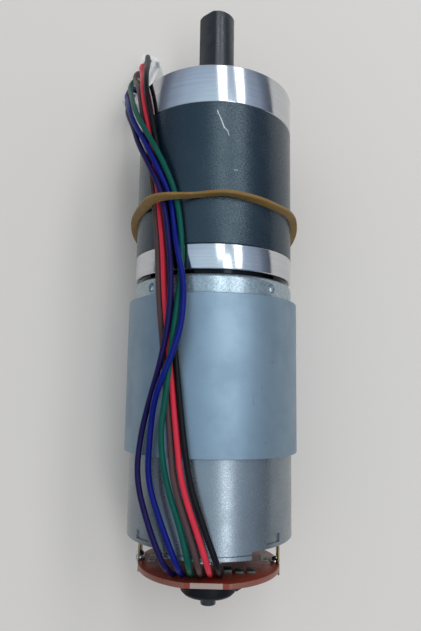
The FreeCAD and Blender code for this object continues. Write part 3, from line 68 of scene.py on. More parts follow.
# %% [markdown]
# ## The camera
#
# The photograph was taken by hand from close above, a little behind the middle of the
# motor, so the front end looks narrower than the rear. A wide lens at the same distance
# gives the same perspective. The place and the turn were fitted to the outlines of the
# casing, and the lens's 36 mm sensor runs along the picture's long side.

# %% Camera
CAMERA_PLACE = Vector((3.72, -80.31, 145.99)) * MM
CAMERA_TURN = [math.radians(angle) for angle in (7.821, 1.548, 0.941)]
CAMERA_LENS = 30.954

camera_data = bpy.data.cameras.new("camera")
camera_data.lens = CAMERA_LENS
camera_data.sensor_width = 36.0
camera_data.clip_start = 0.01
camera = bpy.data.objects.new("camera", camera_data)
camera.location = CAMERA_PLACE
camera.rotation_euler = CAMERA_TURN
bpy.context.scene.collection.objects.link(camera)
bpy.context.scene.camera = camera
bpy.context.scene.view_settings.view_transform = "Standard"
print("camera", [round(place / MM, 1) for place in camera.location])

# %% [markdown]
# ## The lead
#
# Six thin stranded wires in satin PVC leave the encoder board, climb over the can's
# edge and run along the top left of the motor. Near the flux ring's middle the violet,
# blue and green wires cross over the other three, and over the gear case the whole bunch
# drifts to the left and down to the plug, which stands on the table.

# %% The routes of the wires
WIRE_DIAMETER = 1.4 * MM
WIRE_ROW_X = {"violet": -7.6, "blue": -5.5, "green": -3.4, "brown": -1.3, "red": 0.8, "black": 2.9}
WIRE_ROW_PLACE = (-123.4, 12.2)
PLUG_CORNER = (-20.9, 24.2)
PLUG_TURN = math.radians(-111.9)
TABLE_HEIGHT = -22.4
PLUG_HEIGHT = 9.8
PLUG_FIRST_WAY = 2.4
PLUG_PITCH = 2.5
PLUG_WAY_SHIFT = -0.4
WIRE_DEPTH_IN_PLUG = 2.2
WIRE_TOP_IN_PLUG = -10.9

OUT_OF_THE_BOARD = {
    "violet": (-8.4, -122.2, 14.0), "blue": (-6.1, -122.2, 14.4), "green": (-3.9, -122.2, 14.4),
    "brown": (-1.7, -122.2, 14.4), "red": (0.6, -122.2, 14.4), "black": (2.8, -122.2, 14.4),
}
# Points over the body: along the shaft, degrees round from the top towards +X, height.
OVER_THE_BODY = {
    "violet": [
        (-118.9, -24.8, 22.7), (-111, -35.6, 23.0), (-101, -46.5, 23.3), (-91, -43, 23.4),
        (-82.5, -35, 23.9), (-75, -26.8, 25.1), (-66, -22.5, 25.1), (-56.5, -21.2, 25.0),
        (-47, -24.9, 23.4), (-34, -30.5, 23.6), (-25.5, -41, 24.0), (-18, -54.5, 23.9),
        (-11, -67.0, 23.6), (-4, -80.5, 25.0),
    ],
    "blue": [
        (-118.9, -15.8, 22.7), (-111, -25.4, 23.0), (-101, -36.7, 23.3), (-91, -34.5, 23.7),
        (-84.5, -30.5, 25.0), (-79.5, -24.8, 26.7), (-72.5, -17.8, 26.7), (-65, -14.4, 25.0),
        (-55.5, -14.4, 24.3), (-48.5, -18.6, 24.4), (-41, -24.6, 22.2), (-34, -27.1, 22.0),
        (-25.5, -36, 23.9), (-17.5, -48, 24.0), (-10.5, -62.5, 24.2), (-4, -74.5, 24.6),
    ],
    "green": [
        (-118.9, -9.2, 22.7), (-111, -14.0, 23.0), (-101, -23.6, 23.3), (-91, -26.0, 24.8),
        (-82.5, -23.0, 25.0), (-74, -21.0, 25.0), (-64, -18.5, 24.8), (-54, -18.0, 22.7),
        (-45, -18.5, 22.0), (-34, -22.9, 22.0), (-25.5, -31.2, 23.2), (-18, -42, 23.8),
        (-11, -54.5, 24.0), (-4.5, -67.5, 23.9),
    ],
    "brown": [
        (-118.9, -3.6, 22.7), (-111, -10.0, 23.0), (-101, -19.2, 23.3), (-91, -21.6, 23.4),
        (-80, -25.0, 23.4), (-68, -28.6, 23.4), (-57, -31.8, 23.6), (-47, -36.2, 22.1),
        (-34, -41.2, 22.0), (-22, -47.4, 22.0), (-13, -55.6, 22.0), (-4, -64.0, 22.2),
    ],
    "red": [
        (-118.9, 1.6, 22.7), (-111, -5.4, 23.0), (-101, -14.4, 23.3), (-91, -17.6, 23.4),
        (-80, -21.0, 23.4), (-68, -24.7, 23.4), (-57, -27.8, 23.6), (-47, -32.0, 22.1),
        (-34, -37.1, 22.0), (-22, -43.0, 22.0), (-13, -50.5, 22.0), (-4, -58.5, 22.2),
    ],
    "black": [
        (-118.9, 7.2, 22.7), (-111, -0.6, 23.0), (-101, -9.6, 23.3), (-91, -13.6, 23.4),
        (-80, -17.1, 23.4), (-68, -20.8, 23.4), (-57, -23.8, 23.6), (-47, -27.8, 22.1),
        (-34, -33.0, 22.0), (-22, -38.6, 22.0), (-13, -45.4, 22.0), (-4, -52.8, 22.4),
    ],
}
DOWN_TO_THE_PLUG = {
    "violet": [(-25.6, 0.6, -1.8), (-26.7, 3.6, -5.4), (-27.3, 6.8, -8.4)],
    "blue": [(-25.2, 1.8, -0.4), (-26.9, 5.6, -5.0), (-27.0, 9.4, -8.2)],
    "green": [(-24.2, 2.8, 1.4), (-25.9, 7.8, -4.4), (-26.0, 12.2, -7.9)],
    "brown": [(-21.7, 3.8, 4.6), (-24.2, 9.8, -3.6), (-24.9, 14.6, -7.4)],
    "red": [(-20.2, 4.2, 7.0), (-22.0, 11.5, -2.4), (-23.1, 17.0, -7.0)],
    "black": [(-18.9, 4.6, 9.5), (-19.5, 12.0, 2.0), (-20.8, 19.2, -5.0)],
}


def round_the_shaft(along, turn, height):
    angle = math.radians(turn)
    return height * math.sin(angle), along, height * math.cos(angle)


def in_the_plug(x, y, z):
    """Where a point of the plug's own frame lies in the motor's, in millimetres."""
    cosine, sine = math.cos(PLUG_TURN), math.sin(PLUG_TURN)
    across = PLUG_CORNER[0] + x * cosine - y * sine
    along = PLUG_CORNER[1] + x * sine + y * cosine
    return across, along, TABLE_HEIGHT + z


def wire_route(name):
    way = list(reversed(list(WIRE_ROW_X))).index(name)
    place = PLUG_FIRST_WAY + way * PLUG_PITCH
    end = in_the_plug(place, PLUG_WAY_SHIFT, PLUG_HEIGHT - WIRE_DEPTH_IN_PLUG)
    points = [(WIRE_ROW_X[name],) + WIRE_ROW_PLACE, OUT_OF_THE_BOARD[name]]
    points += [round_the_shaft(*point) for point in OVER_THE_BODY[name]]
    points += DOWN_TO_THE_PLUG[name]
    points += [(end[0], end[1], WIRE_TOP_IN_PLUG), end]
    return [Vector(point) * MM for point in points]


# %% [markdown]
# ## A lathe
#
# Nearly everything on this motor is round, because it was made on a lathe or drawn in
# a press. So the first tool is a lathe of our own: one vertex is extruded from corner to
# corner of a half section, and Spin turns that line about the shaft's axis. A closed
# line gives a ring with a bore. A line that starts and ends on the axis gives a solid
# bar, whose two poles close when the doubles are merged.
#
# Booleans drill the holes and mill the slots, as a machinist would, and a small bevel
# stands for the broken edges that every real part has. Only sharp edges are bevelled.

# %% Tools for edit mode
TOUCHING = 1e-6


def deselect():
    bpy.ops.object.select_all(action="DESELECT")


def pick(piece):
    deselect()
    piece.select_set(True)
    bpy.context.view_layer.objects.active = piece


def edit_mode():
    bpy.ops.object.mode_set(mode="EDIT")


def object_mode():
    bpy.ops.object.mode_set(mode="OBJECT")


def close_up():
    """Merges doubles and turns every face outwards, with the piece in edit mode."""
    bpy.ops.mesh.select_all(action="SELECT")
    bpy.ops.mesh.remove_doubles(threshold=TOUCHING)
    bpy.ops.mesh.normals_make_consistent(inside=False)


# %% The lathe
def draw_section(name, corners):
    """One vertex, extruded from corner to corner. The piece is left in edit mode."""
    deselect()
    bpy.ops.mesh.primitive_plane_add(size=MM)
    piece = bpy.context.object
    piece.name = name
    edit_mode()
    bpy.ops.mesh.merge(type="CENTER")
    here = Vector((0, 0, 0))
    bpy.ops.transform.translate(value=corners[0] - here)
    here = corners[0]
    for corner in corners[1:]:
        bpy.ops.mesh.extrude_vertices_move(TRANSFORM_OT_translate={"value": corner - here})
        here = corner
    return piece


def lathe(name, half_section, steps, closed=True):
    """Turns a half section of (radius, along the shaft), in millimetres, into a body."""
    corners = [Vector((radius, along, 0)) * MM for radius, along in half_section]
    if closed:
        corners.append(corners[0])
    piece = draw_section(name, corners)
    bpy.ops.mesh.select_all(action="SELECT")
    bpy.ops.mesh.spin(steps=steps, angle=2 * math.pi, center=(0, 0, 0), axis=(0, 1, 0))
    close_up()
    object_mode()
    return piece


def wedge(name, half_section, start, sweep, steps=48):
    """A closed section turned through a part of the circle, from start, in degrees.

    Turns are counted from the top towards +X. Spin counts them the other way.
    """
    turn = Matrix.Rotation(math.radians(start - 90), 4, "Y")
    corners = [turn @ (Vector((radius, along, 0)) * MM) for radius, along in half_section]
    piece = draw_section(name, corners + corners[:1])
    bpy.ops.mesh.select_all(action="SELECT")
    bpy.ops.mesh.remove_doubles(threshold=TOUCHING)
    bpy.ops.mesh.edge_face_add()
    bpy.ops.mesh.spin(steps=steps, angle=-math.radians(sweep), center=(0, 0, 0), axis=(0, 1, 0))
    close_up()
    object_mode()
    return piece


# %% Edges, holes and slots
def apply_modifier(piece, kind, **settings):
    pick(piece)
    modifier = piece.modifiers.new(kind.lower(), kind)
    for name, value in settings.items():
        setattr(modifier, name, value)
    bpy.ops.object.modifier_apply(modifier=modifier.name)


def soften(piece, width, segments=2):
    """Rounds the sharp edges. width is in millimetres."""
    apply_modifier(piece, "BEVEL", width=width * MM, segments=segments, limit_method="ANGLE",
                   angle_limit=math.radians(30))


def smooth(piece, angle=35):
    pick(piece)
    bpy.ops.object.shade_smooth_by_angle(angle=math.radians(angle))


def join(pieces):
    deselect()
    for piece in pieces:
        piece.select_set(True)
    bpy.context.view_layer.objects.active = pieces[0]
    bpy.ops.object.join()
    return pieces[0]


def cut_away(piece, cutters):
    """Takes all the cutters away from the piece in one boolean."""
    cutter = join(cutters)
    apply_modifier(piece, "BOOLEAN", operation="DIFFERENCE", solver="EXACT", object=cutter)
    bpy.data.objects.remove(cutter)


def round_the_axis(radius, turn):
    angle = math.radians(turn)
    return radius * math.sin(angle), radius * math.cos(angle)


def drill(radius, rear, front, x, z, tip_radius=None, sides=32):
    """A cutter along the shaft. With a tip radius it is a cone, as for a countersink."""
    deselect()
    place = Vector((x, (rear + front) / 2, z)) * MM
    bpy.ops.mesh.primitive_cone_add(
        vertices=sides, radius1=radius * MM, radius2=(tip_radius or radius) * MM,
        depth=(front - rear) * MM, location=place, rotation=(math.radians(90), 0, 0))
    bpy.ops.object.transform_apply()
    return bpy.context.object


def drill_round(circle, turns, radius, rear, front, tip_radius=None):
    """One cutter at each turn, on a circle round the shaft's axis."""
    places = [round_the_axis(circle, turn) for turn in turns]
    return [drill(radius, rear, front, x, z, tip_radius) for x, z in places]


def mill(low, high):
    """A straight-sided cutter between two corners, in millimetres."""
    deselect()
    low, high = Vector(low) * MM, Vector(high) * MM
    bpy.ops.mesh.primitive_cube_add(size=1, location=(low + high) / 2)
    cutter = bpy.context.object
    cutter.scale = high - low
    bpy.ops.object.transform_apply()
    return cutter


def turned_copy(piece, turn):
    """A copy with its own mesh, turned about the shaft from the top towards +X."""
    copy = piece.copy()
    copy.data = piece.data.copy()
    bpy.context.scene.collection.objects.link(copy)
    copy.data.transform(Matrix.Rotation(math.radians(turn), 4, "Y"))
    return copy


print("lathe, drill and mill are ready")

# %% [markdown]
# Each wire is a smooth NURBS curve. Its control points were given one by one, as those of
# the CAD source were. At the board and at the plug some lie up to 3 mm away from the
# source's, to follow the photograph more closely. A curve bevel gives the wire its round
# section, and the curve is then converted to a mesh.

# %% The wires
def wire_tube(name):
    """A mesh tube and the points of its centre line."""
    points = wire_route(name)
    data = bpy.data.curves.new("lead_" + name, "CURVE")
    data.dimensions = "3D"
    data.resolution_u = 10
    data.use_fill_caps = True
    spline = data.splines.new("NURBS")
    spline.points.add(len(points) - 1)
    for control, place in zip(spline.points, points):
        control.co = (*place, 1.0)
    spline.use_endpoint_u = True
    spline.order_u = 3
    wire = bpy.data.objects.new("lead_" + name, data)
    bpy.context.scene.collection.objects.link(wire)
    centre_line = [vertex.co.copy() for vertex in wire.to_mesh().vertices]
    wire.to_mesh_clear()
    data.bevel_depth = WIRE_DIAMETER / 2
    data.bevel_resolution = 6
    pick(wire)
    bpy.ops.object.convert(target="MESH")
    wire = bpy.context.object
    smooth(wire)
    return wire, centre_line


# How long each wire is along the route in the CAD source, in millimetres.
wires, centre_lines = {}, {}
for colour in WIRE_ROW_X:
    wires[colour], centre_lines[colour] = wire_tube(colour)
    line = centre_lines[colour]
    steps = [(after - before).length for before, after in zip(line, line[1:])]
    print(colour, "wire, length in mm:", round(sum(steps) / MM, 1))

# %% [markdown]
# ## The gearbox's casing
#
# Three parts are screwed together: an aluminium cap that carries the output bearings,
# a dark steel case with the ring gear cut inside it, and an aluminium adapter plate
# that the motor is bolted to. The cap has four tapped holes for a bracket, and four
# countersunk screws that hold it to the case.

# %% Sizes of the casing, in millimetres
CASING_RADIUS = 21.0
CAP_REAR = -10.0
CASE_REAR = -45.8
ADAPTER_REAR = -52.0
CAN_FRONT = -52.8
EDGE_BREAK = 0.2
MOUNT_CIRCLE = 16.0
SCREW_CIRCLE = 17.8
SCREW_SHANK = 1.5
SCREW_HEAD = 2.75
SCREW_DEPTH = 7.5
QUARTERS = (0, 90, 180, 270)
DIAGONALS = (45, 135, 225, 315)
RUN_OUT = 1.0  # how far a cutter goes past the part
FINE_STEPS = 192

# %% The front cap
FRONT_BREAK = 0.4
BOSS_RADIUS = 12.5
BOSS_FRONT = 2.0
BOSS_BORE = 7.7
BEARING_SEAT = 9.5
SEAT_FRONT = 0.8
MOUNT_TAP = 1.65
MOUNT_DEPTH = 8.0
MOUNT_SINK = 0.25
HEAD_REAR = -1.6
HEAD_FRONT = -0.3
front_cap = lathe("front_cap_turned", [
    (BEARING_SEAT, CAP_REAR), (CASING_RADIUS - EDGE_BREAK, CAP_REAR),
    (CASING_RADIUS, CAP_REAR + EDGE_BREAK), (CASING_RADIUS, -FRONT_BREAK),
    (CASING_RADIUS - FRONT_BREAK, 0), (BOSS_RADIUS, 0), (BOSS_RADIUS, BOSS_FRONT - FRONT_BREAK),
    (BOSS_RADIUS - FRONT_BREAK, BOSS_FRONT), (BOSS_BORE + EDGE_BREAK, BOSS_FRONT),
    (BOSS_BORE, BOSS_FRONT - EDGE_BREAK), (BOSS_BORE, SEAT_FRONT), (BEARING_SEAT, SEAT_FRONT)],
    steps=FINE_STEPS)
soften(front_cap, 0.06)
cap_holes = drill_round(MOUNT_CIRCLE, QUARTERS, MOUNT_TAP, -MOUNT_DEPTH, RUN_OUT)
cap_holes += drill_round(SCREW_CIRCLE, DIAGONALS, SCREW_SHANK, CAP_REAR - RUN_OUT, -1.0)
cut_away(front_cap, cap_holes)
sinks = drill_round(MOUNT_CIRCLE, QUARTERS, MOUNT_TAP, -MOUNT_SINK, 0.1, tip_radius=2.0)
sinks += drill_round(
    SCREW_CIRCLE, DIAGONALS, SCREW_SHANK - 0.05, HEAD_REAR, HEAD_FRONT, tip_radius=SCREW_HEAD)
cut_away(front_cap, sinks)
cut_away(front_cap, drill_round(SCREW_CIRCLE, DIAGONALS, SCREW_HEAD, HEAD_FRONT - 0.01, RUN_OUT))
smooth(front_cap)
print("front cap:", len(front_cap.data.polygons), "faces")

# %% [markdown]
# The case is a plain drum outside. Inside it is broached: thirty-nine straight teeth run
# from end to end. A block with tapered sides is the broach's tooth, Spin copies it
# round the bore, and one boolean cuts all the spaces.

# %% The gear case
RING_TEETH = 39
RING_TIP = 13.92
RING_ROOT = 15.56
BROACH_START = 13.0
SPACE_HALF_WIDTH = 0.85
SPACE_TAPER = 0.52
gear_case = lathe("gear_case_turned", [
    (RING_TIP, CASE_REAR), (CASING_RADIUS - EDGE_BREAK, CASE_REAR),
    (CASING_RADIUS, CASE_REAR + EDGE_BREAK), (CASING_RADIUS, CAP_REAR - EDGE_BREAK),
    (CASING_RADIUS - EDGE_BREAK, CAP_REAR), (RING_TIP, CAP_REAR)], steps=FINE_STEPS)
soften(gear_case, 0.05)
broach = mill((-SPACE_HALF_WIDTH, CASE_REAR - RUN_OUT, BROACH_START),
              (SPACE_HALF_WIDTH, CAP_REAR + RUN_OUT, RING_ROOT))
pick(broach)
edit_mode()
bpy.ops.mesh.select_all(action="DESELECT")
object_mode()
for face in broach.data.polygons:
    face.select = face.normal.z > 0.9
edit_mode()
bpy.ops.transform.resize(value=(SPACE_TAPER, 1, 1))
bpy.ops.mesh.select_all(action="SELECT")
bpy.ops.transform.rotate(value=math.radians(60), orient_axis="Y", center_override=(0, 0, 0))
bpy.ops.mesh.spin(steps=RING_TEETH, dupli=True, angle=2 * math.pi, center=(0, 0, 0), axis=(0, 1, 0))
close_up()
object_mode()
cut_away(gear_case, [broach])
case_holes = drill_round(SCREW_CIRCLE, DIAGONALS, SCREW_SHANK, CAP_REAR - SCREW_DEPTH, CAP_REAR + RUN_OUT)
case_holes += drill_round(
    SCREW_CIRCLE, DIAGONALS, SCREW_SHANK, CASE_REAR - RUN_OUT, CASE_REAR + SCREW_DEPTH)
cut_away(gear_case, case_holes)
smooth(gear_case)
print("gear case:", len(gear_case.data.polygons), "faces")

# %% The adapter plate
ADAPTER_BORE = 7.5
ADAPTER_FLOOR = -48.25
COLLAR_RADIUS = 20.0
COLLAR_BORE = 8.8
SUNK_HEAD = -48.8
MOTOR_SCREW_SIDES = (-14.5, 14.5)
MOTOR_SCREW_HEAD = 4.1
MOTOR_SCREW_SHANK = 2.0
adapter_plate = lathe("adapter_turned", [
    (ADAPTER_BORE, CASE_REAR), (CASING_RADIUS - EDGE_BREAK, CASE_REAR),
    (CASING_RADIUS, CASE_REAR - EDGE_BREAK), (CASING_RADIUS, ADAPTER_REAR + EDGE_BREAK),
    (CASING_RADIUS - EDGE_BREAK, ADAPTER_REAR), (COLLAR_RADIUS, ADAPTER_REAR),
    (COLLAR_RADIUS, CAN_FRONT), (COLLAR_BORE, CAN_FRONT), (COLLAR_BORE, ADAPTER_FLOOR),
    (ADAPTER_BORE, ADAPTER_FLOOR)], steps=FINE_STEPS)
soften(adapter_plate, 0.06)
wells = [drill(MOTOR_SCREW_HEAD, SUNK_HEAD, CASE_REAR + RUN_OUT, x, 0) for x in MOTOR_SCREW_SIDES]
wells += drill_round(SCREW_CIRCLE, DIAGONALS, SCREW_HEAD, CAN_FRONT - RUN_OUT, SUNK_HEAD)
cut_away(adapter_plate, wells)
through = [drill(MOTOR_SCREW_SHANK, CAN_FRONT - RUN_OUT, CASE_REAR, x, 0) for x in MOTOR_SCREW_SIDES]
through += drill_round(SCREW_CIRCLE, DIAGONALS, SCREW_SHANK, SUNK_HEAD - 0.7, CASE_REAR + RUN_OUT)
cut_away(adapter_plate, through)
smooth(adapter_plate)
print("adapter plate:", len(adapter_plate.data.polygons), "faces")

# %% [markdown]
# ## The motor's casing
#
# The can is deep-drawn steel: a wall of 1.2 mm with a rounded shoulder. At its rear two
# tongues stand proud of the rim and four windows show where it is crimped over the end
# bell, and four dimples in front hold the magnets' place. A second steel ring is rolled
# round it to carry more of the magnets' flux. The ring is open at one seam, below.

# %% The can
CAN_RADIUS = 21.0
CAN_WALL = 1.2
CAN_CORNER = 1.5
CAN_RIM = -116.1
TONGUE_RIM = -117.9
NOSE_RADIUS = 8.75
NOSE_FRONT = -48.5
NOSE_SHEET = 0.8
SHAFT_HOLE = 5.4
BEARING_ROOM = 7.0
GROOVE_DEPTH = 0.25
TONGUE_GAP = 122
WINDOW_TURNS = (46.8, 133.2, 226.8, 313.2)
WINDOW_SWEEP = 13
WINDOW_DEPTH = 0.4
WINDOW_REAR = -115.2
WINDOW_FRONT = -113.2
WALL_INSIDE = 17  # a cutter between these two radii goes through the wall
WALL_OUTSIDE = 23
DIMPLE_TURNS = (44.5, 135.5, 224.5, 315.5)
DIMPLE_PLACE = -55.6
DIMPLE_RADIUS = 1.15
shoulder = []
for step in range(7):
    angle = math.radians(90 * step / 6)
    shoulder.append((CAN_RADIUS - CAN_CORNER + CAN_CORNER * math.cos(angle),
                     CAN_FRONT - CAN_CORNER + CAN_CORNER * math.sin(angle)))
floor_rear = CAN_FRONT - CAN_CORNER
motor_can = lathe("motor_can_drawn", [
    (NOSE_RADIUS, CAN_FRONT), (NOSE_RADIUS, NOSE_FRONT - EDGE_BREAK),
    (NOSE_RADIUS - EDGE_BREAK, NOSE_FRONT), (SHAFT_HOLE, NOSE_FRONT),
    (SHAFT_HOLE, NOSE_FRONT - NOSE_SHEET), (BEARING_ROOM, NOSE_FRONT - NOSE_SHEET),
    (BEARING_ROOM, floor_rear), (CAN_RADIUS - CAN_WALL, floor_rear),
    (CAN_RADIUS - CAN_WALL, TONGUE_RIM), (CAN_RADIUS - EDGE_BREAK, TONGUE_RIM),
    (CAN_RADIUS, TONGUE_RIM + EDGE_BREAK), (CAN_RADIUS, TONGUE_RIM + 1.0),
    (CAN_RADIUS - GROOVE_DEPTH, TONGUE_RIM + 1.1), (CAN_RADIUS - GROOVE_DEPTH, TONGUE_RIM + 1.3),
    (CAN_RADIUS, TONGUE_RIM + 1.4)] + shoulder, steps=FINE_STEPS)
can_cutters = []
for side in (90, 270):
    section = [(WALL_INSIDE, TONGUE_RIM - RUN_OUT), (WALL_OUTSIDE, TONGUE_RIM - RUN_OUT),
               (WALL_OUTSIDE, CAN_RIM), (WALL_INSIDE, CAN_RIM)]
    can_cutters.append(wedge("rim", section, side - TONGUE_GAP / 2, TONGUE_GAP))
sunk = CAN_RADIUS - WINDOW_DEPTH
for turn in WINDOW_TURNS:
    section = [(sunk, WINDOW_REAR), (WALL_OUTSIDE, WINDOW_REAR),
               (WALL_OUTSIDE, WINDOW_FRONT), (sunk, WINDOW_FRONT)]
    can_cutters.append(wedge("window", section, turn - WINDOW_SWEEP / 2, WINDOW_SWEEP, steps=8))
cut_away(motor_can, can_cutters)
can_holes = [drill(MOTOR_SCREW_SHANK, -56, CAN_FRONT + RUN_OUT, x, 0) for x in MOTOR_SCREW_SIDES]
for turn in DIMPLE_TURNS:
    deselect()
    x, z = round_the_axis(CAN_RADIUS, turn)
    bpy.ops.mesh.primitive_uv_sphere_add(
        segments=24, ring_count=16, radius=DIMPLE_RADIUS * MM, location=Vector((x, DIMPLE_PLACE, z)) * MM)
    bpy.ops.object.transform_apply()
    can_holes.append(bpy.context.object)
cut_away(motor_can, can_holes)
smooth(motor_can)
print("can:", len(motor_can.data.polygons), "faces")

# %% The flux ring
RING_RADIUS = 22.4
RING_FRONT = -57.8
RING_REAR = -95.8
SEAM_END = 135.5
flux_ring = wedge("flux_ring_rolled", [
    (CAN_RADIUS, RING_REAR), (RING_RADIUS, RING_REAR),
    (RING_RADIUS, RING_FRONT), (CAN_RADIUS, RING_FRONT)], SEAM_END, 359, steps=190)
soften(flux_ring, 0.18, segments=3)
smooth(flux_ring)
print("flux ring:", len(flux_ring.data.polygons), "faces")

# %% The end bell
TERMINAL_X = 17.6
NOTCH_HALF = 2.45
BELL_FRONT = -112.1
BELL_RADIUS = 19.7
BELL_NOSE = 8.5
BELL_REAR = -121.3
end_bell = lathe("end_bell_moulded", [
    (BEARING_ROOM, BELL_FRONT), (BELL_RADIUS, BELL_FRONT), (BELL_RADIUS, CAN_RIM), (BELL_NOSE, CAN_RIM),
    (BELL_NOSE, BELL_REAR), (SHAFT_HOLE, BELL_REAR), (SHAFT_HOLE, BELL_REAR + NOSE_SHEET),
    (BEARING_ROOM, BELL_REAR + NOSE_SHEET)], steps=96)
soften(end_bell, 0.15)
slits = [mill((side - 0.3, CAN_RIM - RUN_OUT, -NOTCH_HALF), (side + 0.3, -111, NOTCH_HALF))
         for side in (-TERMINAL_X, TERMINAL_X)]
cut_away(end_bell, slits)
smooth(end_bell)
print("end bell:", len(end_bell.data.polygons), "faces")

# %% [markdown]
# ## The output shaft
#
# A 10 mm steel bar with a black oxide finish. One side is milled flat, 9 mm across, so
# that a hub can't slip round it. The flat begins 7 mm in front of the casing's face. A groove
# holds the circlip that keeps the bearings in place.

# %% The output shaft
SHAFT_RADIUS = 5.0
SHAFT_REAR = -17.0
SHAFT_FRONT = 27.0
SHAFT_CHAMFER = 0.6
GROOVE_FLOOR = 4.65
CIRCLIP_REAR = 0.8
CIRCLIP_FRONT = 1.8
FLAT_START = 7.0
FLAT_HEIGHT = 4.0
FLAT_TURN = -40
output_shaft = lathe("output_shaft_turned", [
    (0, SHAFT_REAR), (SHAFT_RADIUS, SHAFT_REAR), (SHAFT_RADIUS, CIRCLIP_REAR),
    (GROOVE_FLOOR, CIRCLIP_REAR), (GROOVE_FLOOR, CIRCLIP_FRONT), (SHAFT_RADIUS, CIRCLIP_FRONT),
    (SHAFT_RADIUS, SHAFT_FRONT - SHAFT_CHAMFER), (SHAFT_RADIUS - SHAFT_CHAMFER, SHAFT_FRONT),
    (0, SHAFT_FRONT)], steps=96, closed=False)
flat_cutter = mill((-6, FLAT_START, FLAT_HEIGHT), (6, 30, 8))
flat_cutter.data.transform(Matrix.Rotation(math.radians(FLAT_TURN), 4, "Y"))
cut_away(output_shaft, [flat_cutter])
soften(output_shaft, 0.08)
smooth(output_shaft)
print("output shaft:", len(output_shaft.data.polygons), "faces")

# %% [markdown]
# ## The encoder
#
# A round board of red-brown laminate stands behind the motor, held by the two terminals
# that are soldered to it. The black wheel on the motor's rear shaft is a ring of many
# magnet poles, and two Hall sensors behind the board count them.

# %% The encoder board
BOARD_FRONT = -123.4
BOARD_REAR = -124.6
BOARD_RADIUS = 18.0
BOARD_BORE = 4.0
BOARD_FLAT = 17.2
NOTCH_X = 17.3
STRAND_HOLE = 0.45
encoder_board = lathe("encoder_board_cut", [
    (BOARD_BORE, BOARD_REAR), (BOARD_RADIUS, BOARD_REAR), (BOARD_RADIUS, BOARD_FRONT),
    (BOARD_BORE, BOARD_FRONT)], steps=128)
rear, front = BOARD_REAR - RUN_OUT, BOARD_FRONT + RUN_OUT
board_cutters = [
    mill((-12, rear, BOARD_FLAT), (12, front, 20)),
    mill((NOTCH_X, rear, -NOTCH_HALF), (20, front, NOTCH_HALF)),
    mill((-20, rear, -NOTCH_HALF), (-NOTCH_X, front, NOTCH_HALF))]
for x in WIRE_ROW_X.values():
    board_cutters.append(drill(STRAND_HOLE, rear, front, x, WIRE_ROW_PLACE[1], sides=16))
cut_away(encoder_board, board_cutters)
soften(encoder_board, 0.06)
smooth(encoder_board)
print("encoder board:", len(encoder_board.data.polygons), "faces")

# %% The magnet wheel and its hub
WHEEL_RADIUS = 7.1
WHEEL_REAR = -131.1
WHEEL_FRONT = -126.4
WHEEL_CHAMFER = 0.8
HUB_RADIUS = 3.0
HUB_FRONT = -125.7
HUB_TIP = -133.9
HUB_TIP_RADIUS = 1.95
MOTOR_SHAFT_RADIUS = 1.5
encoder_magnet = lathe("encoder_magnet_moulded", [
    (HUB_RADIUS, WHEEL_REAR), (WHEEL_RADIUS - WHEEL_CHAMFER, WHEEL_REAR),
    (WHEEL_RADIUS, WHEEL_REAR + WHEEL_CHAMFER), (WHEEL_RADIUS, WHEEL_FRONT - WHEEL_CHAMFER),
    (WHEEL_RADIUS - WHEEL_CHAMFER, WHEEL_FRONT), (HUB_RADIUS, WHEEL_FRONT)], steps=96)
soften(encoder_magnet, 0.12)
smooth(encoder_magnet)
magnet_hub = lathe("magnet_hub_turned", [
    (MOTOR_SHAFT_RADIUS, HUB_FRONT), (HUB_RADIUS, HUB_FRONT), (HUB_RADIUS, WHEEL_REAR),
    (HUB_TIP_RADIUS, WHEEL_REAR), (HUB_TIP_RADIUS, HUB_TIP), (0, HUB_TIP),
    (0, HUB_TIP + 1.4), (MOTOR_SHAFT_RADIUS, HUB_TIP + 1.4)], steps=64)
soften(magnet_hub, 0.08)
smooth(magnet_hub)
print("wheel and hub:", len(encoder_magnet.data.polygons), len(magnet_hub.data.polygons), "faces")

# %% [markdown]
# ## Small parts of the encoder
#
# The motor's two terminals are flat brass tabs that come out of the end bell and pass the
# board's notches, where they are soldered. The left joint is a big shiny drop. Behind the
# board each wire ends in a small drop of solder. Every joint is a sphere, stretched and
# set so that the board swallows a part of it, because molten solder pulls itself round.

# %% Terminals
TAB_HALF = 0.25
TAB_SIDE = 2.4
TAB_REAR = -126.0
FOOT_REAR = -112.1
FOOT_FRONT = -111.6
FOOT_START = 15.0
EYELET_RADIUS = 0.9
EYELET_PLACE = -122.4
terminals = []
for side in (-1, 1):
    inner, outer = side * (TERMINAL_X - TAB_HALF), side * (TERMINAL_X + TAB_HALF)
    low, high = sorted((inner, outer))
    tab = mill((low, TAB_REAR, -TAB_SIDE), (high, FOOT_FRONT, TAB_SIDE))
    soften(tab, 0.12)
    low, high = sorted((side * FOOT_START, inner))
    terminals += [tab, mill((low, FOOT_REAR, -TAB_SIDE), (high, FOOT_FRONT, TAB_SIDE))]
terminals = join(terminals)
terminals.name = "terminals_stamped"
deselect()
bpy.ops.mesh.primitive_cylinder_add(
    radius=EYELET_RADIUS * MM, depth=60 * MM, vertices=32,
    location=Vector((0, EYELET_PLACE, 0)) * MM, rotation=(0, math.radians(90), 0))
bpy.ops.object.transform_apply()
cut_away(terminals, [bpy.context.object])
smooth(terminals)
print("terminals:", len(terminals.data.polygons), "faces")


# %% Solder
def drop(place, radii):
    deselect()
    bpy.ops.mesh.primitive_uv_sphere_add(
        segments=32, ring_count=20, radius=MM, location=Vector(place) * MM)
    piece = bpy.context.object
    piece.scale = radii
    bpy.ops.object.transform_apply()
    return piece


